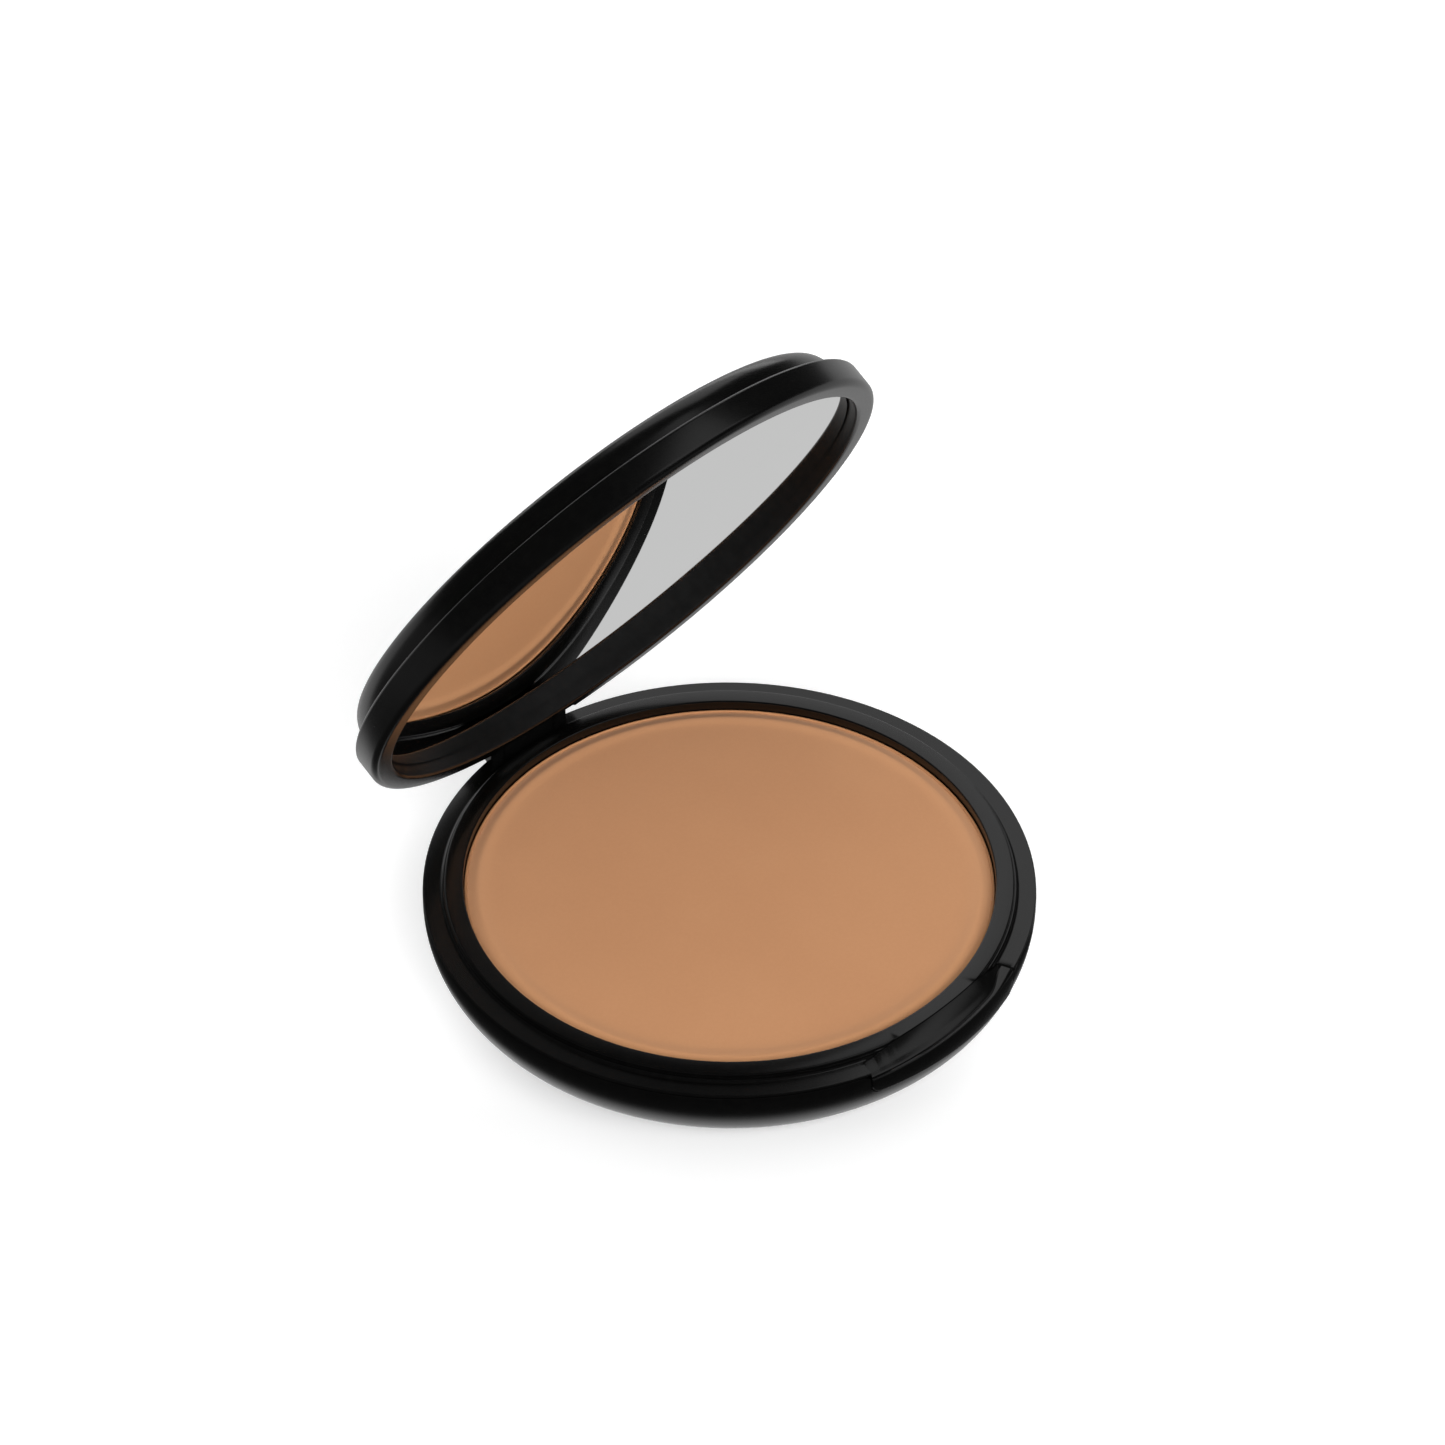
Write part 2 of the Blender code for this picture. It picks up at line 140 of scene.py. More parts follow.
class Bench:
    """One material's node tree, with a few words for adding to it."""

    def __init__(self, name: str) -> None:
        """Start a material that holds one Principled shader."""
        self.material = bpy.data.materials.new(name)
        self.material.use_nodes = True
        self.tree = self.material.node_tree
        self.shader = self.tree.nodes["Principled BSDF"]

    def node(self, kind: str, settings: dict[str, Any] | None = None,
             sockets: dict[Any, Any] | None = None) -> bpy.types.Node:
        """Add a node.

        Args:
            kind: the node's type name.
            settings: its properties, set before its sockets.
            sockets: values or signals for its inputs, by name or number.

        Returns:
            The new node.
        """
        made = self.tree.nodes.new(kind)
        for key, value in (settings or {}).items():
            setattr(made, key, value)
        for key, value in (sockets or {}).items():
            self.plug(made.inputs[key], value)
        return made

    def plug(self, socket: bpy.types.NodeSocket, value: Any) -> None:
        """Set a socket's value, or link a signal to it."""
        if isinstance(value, Signal):
            self.tree.links.new(value.socket, socket)
        else:
            socket.default_value = value

    def maths(self, operation: str, left: Number, right: Number) -> Signal:
        """A Math node on two numbers or signals."""
        made = self.node("ShaderNodeMath", {"operation": operation}, {0: left, 1: right})
        return Signal(self, made.outputs[0])

    def place(self) -> Signal:
        """Object coordinates, in metres in the row frame."""
        return Signal(self, self.node("ShaderNodeTexCoord").outputs["Object"])

    def stretched(self, scale: tuple[float, float, float]) -> Signal:
        """Object coordinates stretched along the axes."""
        made = self.node("ShaderNodeMapping", None, {"Vector": self.place(), "Scale": scale})
        return Signal(self, made.outputs["Vector"])

    def noise(self, size_mm: float, detail: float, roughness: float,
              across: Signal | None = None) -> Signal:
        """Noise with features of a given size.

        Args:
            size_mm: width of one feature in millimetres.
            detail: octaves of finer noise.
            roughness: strength of the finer octaves.
            across: coordinates to use in place of plain object coordinates.

        Returns:
            The noise, around 0.5.
        """
        made = self.node("ShaderNodeTexNoise", None, {
            "Vector": across or self.place(), "Scale": 1.0 / (size_mm * MM),
            "Detail": detail, "Roughness": roughness})
        return Signal(self, made.outputs["Fac"])

    def cells(self, size_mm: float) -> Signal:
        """Distance to the nearest of scattered points, a given size apart."""
        made = self.node("ShaderNodeTexVoronoi", None, {
            "Vector": self.place(), "Scale": 1.0 / (size_mm * MM)})
        return Signal(self, made.outputs["Distance"])

    def axis_mm(self, axis: str) -> Signal:
        """Object coordinate along one axis, in millimetres."""
        parts = self.node("ShaderNodeSeparateXYZ", None, {0: self.place()})
        return Signal(self, parts.outputs[axis]) * (1.0 / MM)

    def radius_mm(self) -> Signal:
        """Distance from the base's centre line, in millimetres."""
        x, y = self.axis_mm("X"), self.axis_mm("Y")
        return (x * x + y * y) ** 0.5

    def blend(self, amount: Number, first: Any, second: Any) -> Signal:
        """Mix two colours.

        Args:
            amount: share of the second colour.
            first: a colour or a colour signal.
            second: a colour or a colour signal.

        Returns:
            The mixed colour.
        """
        made = self.node("ShaderNodeMix", {"data_type": "RGBA"})
        sides = [side if isinstance(side, Signal) else (*side, 1.0) for side in (first, second)]
        for index, value in zip((0, 6, 7), (amount, *sides)):
            self.plug(made.inputs[index], value)
        return Signal(self, made.outputs[2])

    def bump(self, height: Signal, depth_mm: float, strength: float = 1.0) -> None:
        """Feed the shader's normal from a height signal."""
        made = self.node("ShaderNodeBump", None, {
            "Height": height, "Distance": depth_mm * MM, "Strength": strength})
        self.tree.links.new(made.outputs["Normal"], self.shader.inputs["Normal"])

    def set(self, **sockets: Any) -> None:
        """Set the shader's sockets by name, with underscores for spaces."""
        for key, value in sockets.items():
            socket = self.shader.inputs[key.replace("_", " ")]
            self.plug(socket, (*value, 1.0) if isinstance(value, tuple) else value)


# ---------------------------------------------------------------- finishes
# A Grain is (size in mm, octaves, strength of the finer ones); a Span is where a step runs.


class Finish:
    """A finish that makes its material once and then hands out the same one."""

    label: str = "finish"

    def material(self) -> bpy.types.Material:
        """The finish as a material."""
        found = bpy.data.materials.get(self.label)
        if found is None:
            bench = Bench(self.label)
            self.mix(bench)
            found = bench.material
        return found

    def mix(self, bench: Bench) -> None:
        """Lay the finish's nodes on the bench."""
        raise NotImplementedError


@dataclass(frozen=True)
class MouldedPlastic(Finish):
    """Black injection-moulded plastic with a soft gloss."""

    label: str = "moulded_black"
    colour: Colour = (0.0009, 0.0009, 0.0009)
    worn: Colour = (0.0015, 0.0015, 0.0014)
    worn_span: Span = (0.35, 0.75)
    roughness: float = 0.24
    gloss: float = 0.5
    refraction: float = 1.5
    cloud: Grain = (7.0, 3.0, 0.55)
    haze: Grain = (1.1, 4.0, 0.6)
    mottle: float = 0.03
    hair: Grain = (0.9, 2.0, 0.5)
    hair_along: tuple[float, float, float] = (0.06, 1.0, 1.0)
    hair_span: Span = (0.66, 0.69)
    hair_breaks: Span = (0.55, 0.62)
    hair_dull: float = 0.02
    hair_depth: float = 0.15
    mote_gap_mm: float = 2.3
    mote_span: Span = (0.012, 0.03)
    mote_dull: float = 0.08
    grain: Grain = (0.05, 2.0, 0.5)
    grain_depth_mm: float = 0.0006

    def mix(self, bench: Bench) -> None:
        """Uneven gloss, a few hairlines and dust motes over a very fine mould grain."""
        cloud, haze = bench.noise(*self.cloud), bench.noise(*self.haze)
        hair = bench.noise(*self.hair, bench.stretched(self.hair_along))
        hairline = hair.ramp(*self.hair_span) * haze.ramp(*self.hair_breaks)
        motes = 1.0 - bench.cells(self.mote_gap_mm).ramp(*self.mote_span)
        bench.set(
            Base_Color=bench.blend(haze.ramp(*self.worn_span), self.colour, self.worn),
            Roughness=(self.roughness + (cloud - 0.5) * self.mottle + (haze - 0.5) * self.mottle
                       + hairline * self.hair_dull + motes * self.mote_dull),
            Specular_IOR_Level=self.gloss,
            IOR=self.refraction)
        bench.bump(bench.noise(*self.grain) - hairline * self.hair_depth, self.grain_depth_mm)


@dataclass(frozen=True)
class PressedPowder(Finish):
    """Tan powder pressed into a dry, finely grained cake."""

    label: str = "pressed_powder"
    deep: Colour = (0.490, 0.232, 0.104)
    plain: Colour = (0.520, 0.252, 0.115)
    # light is the tone of the painted glints and of the painted highlight on the border.
    light: Colour = (0.580, 0.295, 0.142)
    cloud: Grain = (14.0, 2.0, 0.5)
    cloud_span: Span = (0.3, 0.7)
    cloud_share: float = 0.5
    grain: Grain = (0.11, 3.0, 0.65)
    fleck: Grain = (0.42, 3.0, 0.6)
    fleck_span: Span = (0.35, 0.68)
    fleck_share: float = 0.28
    # Painted glints: small scattered spots lightened towards the light tone.
    glint_gap_mm: float = 0.8
    glint_span: Span = (0.10, 0.02)
    glint_share: float = 0.35
    # Painted highlight: where the raised border is lightened in colour, as light falls on it.
    border_highlight_in_mm: Span = (26.0, 28.2)
    border_highlight_out_mm: Span = (29.0, 29.4)
    border_highlight_fade: float = 0.6
    border_highlight_share: float = 0.28
    roughness: float = 0.86
    uneven: float = 0.16
    relief_mm: float = 0.03

    def mix(self, bench: Bench) -> None:
        """Fine grain, soft cloudiness from the press, painted glints and a painted highlight on the
        raised border.
        """
        cloud, grain = bench.noise(*self.cloud), bench.noise(*self.grain)
        fleck, radius = bench.noise(*self.fleck), bench.radius_mm()
        tone = (cloud.ramp(*self.cloud_span) * self.cloud_share
                + fleck.ramp(*self.fleck_span) * self.fleck_share)
        # Painted glints, blended into the powder's random tone.
        glint = bench.cells(self.glint_gap_mm).ramp(*self.glint_span)
        tone_with_painted_glints = bench.blend(glint * self.glint_share,
                               bench.blend(tone, self.deep, self.plain), self.light)
        # Painted highlight: the raised border is lightened towards the light tone.
        border_highlight = radius.ramp(*self.border_highlight_in_mm) * (
            1.0 - radius.ramp(*self.border_highlight_out_mm) * self.border_highlight_fade)
        bench.set(
            Base_Color=bench.blend(border_highlight * self.border_highlight_share, tone_with_painted_glints, self.light),
            Roughness=self.roughness + (grain - 0.5) * self.uneven,
            Sheen_Weight=0.12,
            Sheen_Roughness=0.6,
            Specular_IOR_Level=0.25)
        bench.bump(grain + fleck * 0.8 + cloud * 1.5, self.relief_mm, 0.55)


@dataclass(frozen=True)
class SilveredGlass(Finish):
    """Flat mirror glass with the faintest smudges."""

    label: str = "silvered_glass"
    colour: Colour = (0.93, 0.935, 0.93)
    touched: Colour = (0.90, 0.905, 0.90)
    touch: Grain = (9.0, 3.0, 0.5)
    touch_span: Span = (0.55, 0.75)
    speck_gap_mm: float = 2.6
    speck_span: Span = (0.015, 0.03)

    def mix(self, bench: Bench) -> None:
        """Nearly perfect mirror, a little hazier where it was touched."""
        touch = bench.noise(*self.touch).ramp(*self.touch_span)
        specks = 1.0 - bench.cells(self.speck_gap_mm).ramp(*self.speck_span)
        bench.set(
            Base_Color=bench.blend(touch * 0.3, self.colour, self.touched),
            Metallic=1.0,
            Roughness=0.012 + touch * 0.014 + specks * 0.15)


@dataclass(frozen=True)
class DustedTinplate(Finish):
    """Drawn tinplate whose rim is covered by powder."""

    label: str = "dusted_tinplate"
    tin: Colour = (0.70, 0.685, 0.65)
    powder: Colour = (0.400, 0.190, 0.085)
    dust_mm: Span = (8.6, 9.3)
    dust_edge: Grain = (0.6, 3.0, 0.5)
    streak: Grain = (0.5, 3.0, 0.5)
    streak_along: tuple[float, float, float] = (1.0, 1.0, 0.08)
    grain: Grain = (0.12, 2.0, 0.5)
    relief_mm: float = 0.01

    def mix(self, bench: Bench) -> None:
        """Draw marks up the wall, and powder that thickens towards the rim."""
        streak = bench.noise(*self.streak, bench.stretched(self.streak_along))
        dust = (bench.axis_mm("Z") + bench.noise(*self.dust_edge) * 0.5).ramp(*self.dust_mm)
        bench.set(
            Base_Color=bench.blend(dust, self.tin, self.powder),
            Metallic=1.0 - dust,
            Roughness=0.26 + streak * 0.12 + dust * 0.5)
        bench.bump(streak + bench.noise(*self.grain) * dust, self.relief_mm)


@dataclass(frozen=True)
class DrawnWire(Finish):
    """Bright steel wire with draw marks along it."""

    label: str = "drawn_wire"
    colour: Colour = (0.58, 0.58, 0.59)
    streaked: Colour = (0.66, 0.66, 0.67)
    streak: Grain = (0.08, 3.0, 0.6)
    streak_along: tuple[float, float, float] = (0.03, 1.0, 1.0)
    relief_mm: float = 0.004

    def mix(self, bench: Bench) -> None:
        """Long fine streaks along the wire."""
        streak = bench.noise(*self.streak, bench.stretched(self.streak_along))
        bench.set(
            Base_Color=bench.blend(streak, self.colour, self.streaked),
            Metallic=1.0,
            Roughness=0.2 + streak * 0.14)
        bench.bump(streak, self.relief_mm)


@dataclass(frozen=True)
class FoamTape(Finish):
    """Off-white foam with small open cells."""

    label: str = "foam_cells"
    colour: Colour = (0.76, 0.75, 0.71)
    # hollow is painted shade: a darker tone in the foam's cell pits.
    hollow: Colour = (0.60, 0.59, 0.55)
    cell_mm: float = 0.2
    cell_span: Span = (0.0, 0.6)
    relief_mm: float = 0.05

    def mix(self, bench: Bench) -> None:
        """Cells a fifth of a millimetre across, their pits painted darker as painted shade."""
        cells = bench.cells(self.cell_mm)
        # The cell pits are painted darker, as painted shade.
        bench.set(
            Base_Color=bench.blend(cells.ramp(*self.cell_span), self.hollow, self.colour),
            Roughness=0.85 + cells * 0.1)
        bench.bump(cells, self.relief_mm)


@dataclass(frozen=True)
class HotGlue(Finish):
    """Amber glue, smooth and slightly waxy."""

    label: str = "hot_glue"
    colour: Colour = (0.70, 0.60, 0.40)
    pale: Colour = (0.78, 0.70, 0.52)
    lump: Grain = (2.5, 2.0, 0.5)
    bubble_gap_mm: float = 0.7
    bubble_span: Span = (0.05, 0.12)
    relief_mm: float = 0.08

    def mix(self, bench: Bench) -> None:
        """Soft lumps and small bubbles."""
        lumps = bench.noise(*self.lump)
        bubbles = bench.cells(self.bubble_gap_mm).ramp(*self.bubble_span)
        bench.set(
            Base_Color=bench.blend(lumps, self.colour, self.pale),
            Roughness=0.3 + lumps * 0.15,
            Coat_Weight=0.2)
        bench.bump(lumps + bubbles * 0.2, self.relief_mm)


@dataclass(frozen=True)
class LabelPaper(Finish):
    """Blank coated label with faint fibres."""

    label: str = "label_paper"
    colour: Colour = (0.66, 0.66, 0.65)
    pale: Colour = (0.72, 0.72, 0.71)
    fibre: Grain = (0.1, 3.0, 0.6)
    along: tuple[float, float, float] = (0.15, 1.0, 1.0)
    across: tuple[float, float, float] = (1.0, 0.2, 1.0)
    fibre_span: Span = (0.35, 0.65)
    cloud: Grain = (5.0, 2.0, 0.5)
    relief_mm: float = 0.012

    def mix(self, bench: Bench) -> None:
        """Fibres in two directions and a slight cloudiness."""
        along = bench.noise(*self.fibre, bench.stretched(self.along))
        across = bench.noise(*self.fibre, bench.stretched(self.across))
        fibre = (along + across) * 0.5
        tone = fibre.ramp(*self.fibre_span) * 0.5 + bench.noise(*self.cloud) * 0.3
        bench.set(
            Base_Color=bench.blend(tone, self.colour, self.pale),
            Roughness=0.55 + (fibre - 0.5) * 0.2)
        bench.bump(fibre, self.relief_mm)


@dataclass(frozen=True)
class PaleFloor(Finish):
    """White studio sweep with painted light: camera rays see it glow, dimmer in front as a painted
    shadow, and gloss sees a painted reflection of it.
    """

    label: str = "pale_floor"
    seen: Colour = (0.74, 0.74, 0.74)
    # Painted light: camera rays see the floor glow, and the glow is dimmer in front as a painted
    # shadow.
    glow_behind: Colour = (0.52, 0.52, 0.52)
    painted_shadow_glow_front: Colour = (0.24, 0.24, 0.24)
    painted_shadow_span_mm: Span = (-42.0, -12.0)
    # Painted reflection that gloss sees in place of the floor: dark in front, paler far off, bright
    # behind and beside the foot.
    behind: Colour = (0.575, 0.575, 0.575)
    before: Colour = (0.03, 0.03, 0.03)
    turns_mm: Span = (2.0, 18.0)
    painted_reflection_far_front: Colour = (0.17, 0.17, 0.17)
    far_mm: Span = (55.0, 170.0)
    painted_reflection_by_foot: Colour = (0.75, 0.75, 0.75)
    foot_mm: Span = (33.0, 37.0)
    unlit: Colour = (0.0, 0.0, 0.0)

    def mix(self, bench: Bench) -> None:
        """Matte floor with a painted glow for the camera; other rays see only a painted reflection
        set by where it lies.
        """
        path = bench.node("ShaderNodeLightPath")
        direct = Signal(bench, path.outputs["Is Camera Ray"])
        along = bench.axis_mm("X") + bench.axis_mm("Y")
        radius = bench.radius_mm()
        # Painted reflection, by where the floor lies; the floor's base colour is black to all but
        # camera rays.
        front = bench.blend(radius.ramp(*self.far_mm), self.before, self.painted_reflection_far_front)
        sides = bench.blend(along.ramp(*self.turns_mm), front, self.behind)
        painted_reflection = bench.blend(1.0 - radius.ramp(*self.foot_mm), sides, self.painted_reflection_by_foot)
        # Painted glow for the camera, dimmer in front as a painted contact shadow.
        glow = bench.blend(along.ramp(*self.painted_shadow_span_mm), self.painted_shadow_glow_front, self.glow_behind)
        bench.set(
            Base_Color=bench.blend(direct, self.unlit, self.seen),
            Emission_Color=bench.blend(direct, painted_reflection, glow),
            Emission_Strength=1.0,
            Roughness=0.9,
            Specular_IOR_Level=0.0)


# ---------------------------------------------------------------- outlines and meshes


def bent(centre: Span, radius: float, start: float, end: float,
         steps: int) -> Outline:
    """Points of a circular arc.

    Args:
        centre: middle of the arc.
        radius: its radius.
        start: first angle, in radians.
        end: last angle, in radians.
        steps: stretches that the arc is cut into.

    Returns:
        The points, from start to end.
    """
    turns = (start + (end - start) * step / steps for step in range(steps + 1))
    return [(centre[0] + radius * math.cos(t), centre[1] + radius * math.sin(t)) for t in turns]


def eased(share: float) -> float:
    """A smooth step of a share, held between 0 and 1."""
    share = min(1.0, max(0.0, share))
    return share * share * (3.0 - 2.0 * share)


def filleted(corners: Sequence[Corner], steps: int = 7, least: float = 0.08) -> Outline:
    """Points along a closed outline with rounded corners.

    Args:
        corners: (a, b) for a moulded corner with the least radius, or (a, b, radius).
            A radius of 0 keeps the corner sharp.
        steps: stretches in each fillet.
        least: radius of a corner that gives none.

    Returns:
        The outline's points.
    """
    points: Outline = []
    for index, corner in enumerate(corners):
        radius = corner[2] if len(corner) > 2 else least
        here = Vector(corner[:2])
        if radius == 0.0:
            points.append(tuple(here))
            continue
        before = (Vector(corners[index - 1][:2]) - here).normalized()
        after = (Vector(corners[(index + 1) % len(corners)][:2]) - here).normalized()
        half = before.angle(after) / 2
        centre = here + (before + after).normalized() * radius / math.sin(half)
        start = here + before * radius / math.tan(half) - centre
        end = here + after * radius / math.tan(half) - centre
        swing = start.angle_signed(end)
        for step in range(steps + 1):
            spoke = start.copy()
            spoke.rotate(Matrix.Rotation(-swing * step / steps, 2))
            points.append(tuple(centre + spoke))
    return points


def smoothed(mesh: bpy.types.Mesh, angle_deg: float = 32.0) -> None:
    """Shade a mesh smooth, with sharp edges where its faces meet steeply."""
    mesh.shade_smooth()
    mesh.set_sharp_from_angle(angle=math.radians(angle_deg))


def welded(build: bmesh.types.BMesh, mesh: bpy.types.Mesh) -> None:
    """Merge a build's doubles, turn its faces outwards, move it to a mesh and free it."""
    bmesh.ops.remove_doubles(build, verts=build.verts, dist=WELD_MM * MM)
    bmesh.ops.dissolve_degenerate(build, edges=build.edges, dist=WELD_MM * MM)
    bmesh.ops.recalc_face_normals(build, faces=build.faces)
    build.to_mesh(mesh)
    build.free()
    smoothed(mesh)


def settled(build: bmesh.types.BMesh, name: str) -> bpy.types.Object:
    """Weld a build and make it an object at the origin."""
    mesh = bpy.data.meshes.new(name)
    welded(build, mesh)
    made = bpy.data.objects.new(name, mesh)
    bpy.context.scene.collection.objects.link(made)
    return made


def lathe(name: str, points: Outline, steps: int = 192) -> bpy.types.Object:
    """Spin an outline of (radius, height) about Z; it is open between points at radius 0."""
    build = bmesh.new()
    ring = [build.verts.new((radius * MM, 0.0, height * MM)) for radius, height in points]
    edges = [build.edges.new((ring[index - 1], ring[index])) for index in range(len(ring))
             if points[index - 1][0] > 0.0 or points[index][0] > 0.0]
    bmesh.ops.spin(build, geom=ring + edges, cent=(0, 0, 0), axis=(0, 0, 1),
                   angle=2 * math.pi, steps=steps, use_merge=True)
    return settled(build, name)


def disc(name: str, size: tuple[float, float, float], rounding: float, sides: int,
         bends: int = 7) -> bpy.types.Object:
    """A round plate on the centre line.

    Args:
        name: name of the object.
        size: its radius, its lower height and its upper height.
        rounding: radius of its two edges.
        sides: stretches round its rim.
        bends: stretches in each edge's rounding.

    Returns:
        The plate.
    """
    radius, low, high = size
    return lathe(name, filleted([(0.0, low, 0.0), (radius, low, rounding),
                                 (radius, high, rounding), (0.0, high, 0.0)], bends), sides)


def softened(radius: float, height: float, sizes: Span) -> Outline:
    """An outer lower edge taken off by the first size, through a point the second size in."""
    size, middle = sizes
    return [(radius, height + size), (radius - middle, height + middle), (radius - size, height)]


def stationed(name: str, outline_at: Callable[[float], Outline],
              turns: Sequence[float]) -> bpy.types.Object:
    """Skin outlines that change on their way round the centre line.

    Args:
        name: name of the object.
        outline_at: gives the closed outline of (radius, height) at a turn from -Y.
        turns: the turns in radians, once round, in rising order.

    Returns:
        The closed ring.
    """
    build = bmesh.new()
    loops = []
    for turn in turns:
        across, along = math.sin(turn), -math.cos(turn)
        loops.append([build.verts.new((r * across * MM, r * along * MM, z * MM))
                      for r, z in outline_at(turn)])
    for index, loop in enumerate(loops):
        ahead = loops[(index + 1) % len(loops)]
        for point in range(len(loop)):
            build.faces.new((loop[point - 1], loop[point], ahead[point], ahead[point - 1]))
    return settled(build, name)


def skinned(name: str, sections: Iterable[Sequence[Sequence[float]]]) -> bpy.types.Object:
    """Skin a row of equal loops of (x, y, z) points in millimetres and close both ends."""
    build = bmesh.new()
    loops = [[build.verts.new(Vector(point) * MM) for point in section] for section in sections]
    for near, far in zip(loops, loops[1:]):
        for index in range(len(near)):
            build.faces.new((near[index - 1], near[index], far[index], far[index - 1]))
    build.faces.new(loops[0])
    build.faces.new(loops[-1])
    return settled(build, name)


def ring_sweep() -> tuple[bpy.types.NodeTree, dict[str, str]]:
    """A tree that sweeps an outline round a circle.

    Returns:
        The tree, and its inputs' identifiers by name.
    """
    tree = bpy.data.node_groups.new("ring_sweep", "GeometryNodeTree")
    face = tree.interface
    face.new_socket("Geometry", in_out="INPUT", socket_type="NodeSocketGeometry")
    keys = {name: face.new_socket(name, in_out="INPUT", socket_type=kind).identifier
            for name, kind in (("Path Radius", "NodeSocketFloat"), ("Steps", "NodeSocketInt"),
                               ("Finish", "NodeSocketMaterial"))}
    face.new_socket("Geometry", in_out="OUTPUT", socket_type="NodeSocketGeometry")
    given, outline, path, level, sweep, real, finish, result = (
        tree.nodes.new(kind) for kind in (
            "NodeGroupInput", "GeometryNodeMeshToCurve", "GeometryNodeCurvePrimitiveCircle",
            "GeometryNodeSetCurveNormal", "GeometryNodeCurveToMesh",
            "GeometryNodeRealizeInstances", "GeometryNodeSetMaterial", "NodeGroupOutput"))
    level.mode = "Z_UP"
    for source, key, target, entry in (
            (given, "Geometry", outline, "Mesh"), (given, "Path Radius", path, "Radius"),
            (given, "Steps", path, "Resolution"), (path, "Curve", level, "Curve"),
            (level, "Curve", sweep, "Curve"), (outline, "Curve", sweep, "Profile Curve"),
            (sweep, "Mesh", real, "Geometry"), (real, "Geometry", finish, "Geometry"),
            (given, "Finish", finish, "Material"), (finish, "Geometry", result, "Geometry")):
        tree.links.new(source.outputs[key], target.inputs[entry])
    return tree, keys


def swept_ring(name: str, points: Outline, finish: Finish, path_r: float,
               steps: int = 192) -> bpy.types.Object:
    """Sweep a closed outline round the centre line with Geometry Nodes.

    Args:
        name: name of the object.
        points: outline of (radius, height) in millimetres.
        finish: finish that the tree puts on the ring.
        path_r: radius of the circle that the outline is carried round.
        steps: stretches round the circle.

    Returns:
        The ring as a plain mesh.
    """
    tree, keys = ring_sweep()
    count = len(points)
    wire = bpy.data.meshes.new(name + "_outline")
    wire.from_pydata([((r - path_r) * MM, -z * MM, 0.0) for r, z in points],
                     [(index, (index + 1) % count) for index in range(count)], [])
    carrier = bpy.data.objects.new(name, wire)
    bpy.context.scene.collection.objects.link(carrier)
    sweep = carrier.modifiers.new("sweep", "NODES")
    sweep.node_group = tree
    for key, value in (("Path Radius", path_r * MM), ("Steps", steps),
                       ("Finish", finish.material())):
        sweep[keys[key]] = value
    ready = applied(carrier)
    build = bmesh.new()
    build.from_mesh(ready.data)
    bmesh.ops.remove_doubles(build, verts=build.verts, dist=WELD_MM * MM)
    bmesh.ops.recalc_face_normals(build, faces=build.faces)
    build.to_mesh(ready.data)
    build.free()
    smoothed(ready.data)
    return ready


def applied(piece: bpy.types.Object) -> bpy.types.Object:
    """Bake a piece's modifiers into its mesh and drop them."""
    bpy.context.view_layer.update()
    graph = bpy.context.evaluated_depsgraph_get()
    mesh = bpy.data.meshes.new_from_object(piece.evaluated_get(graph))
    piece.modifiers.clear()
    piece.data = mesh
    return piece


class Cut(enum.Enum):
    """What a tool does to the piece it meets."""

    AWAY = "DIFFERENCE"
    ON = "UNION"


def worked(piece: bpy.types.Object, tools: Sequence[tuple[bpy.types.Object, Cut]]
           ) -> bpy.types.Object:
    """Cut tools away from a piece or join them on, and throw the tools away.

    Args:
        piece: the piece to work.
        tools: each tool and what it does, in order.

    Returns:
        The piece, with its mesh changed.
    """
    for tool, cut in tools:
        step = piece.modifiers.new(tool.name, "BOOLEAN")
        step.operation = cut.value
        step.object = tool
        step.solver = "EXACT"
        step.material_mode = "TRANSFER" if piece.data.materials else "INDEX"
    applied(piece)
    smoothed(piece.data)
    for tool, _ in tools:
        bpy.data.objects.remove(tool)
    return piece


def mounted(piece: bpy.types.Object, finish: Finish, body: Body, slot: Slot,
            *nodes: str) -> bpy.types.Object:
    """Dress a finished piece and hang it on its body in place of CAD nodes.

    Args:
        piece: the piece, with its place in its mesh.
        finish: the finish for all of it.
        body: the body that it moves with.
        slot: the record's slot that the finish belongs to; not used.
        nodes: CAD nodes that it stands for.

    Returns:
        The piece.
    """
    piece.data.materials.clear()
    piece.data.materials.append(finish.material())
    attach(piece, body.value)
    if nodes:
        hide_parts(*nodes)
    LOG.info("%s: %d faces, for %s", piece.name, len(piece.data.polygons), nodes or "detail")
    return piece


# ---------------------------------------------------------------- hinge line


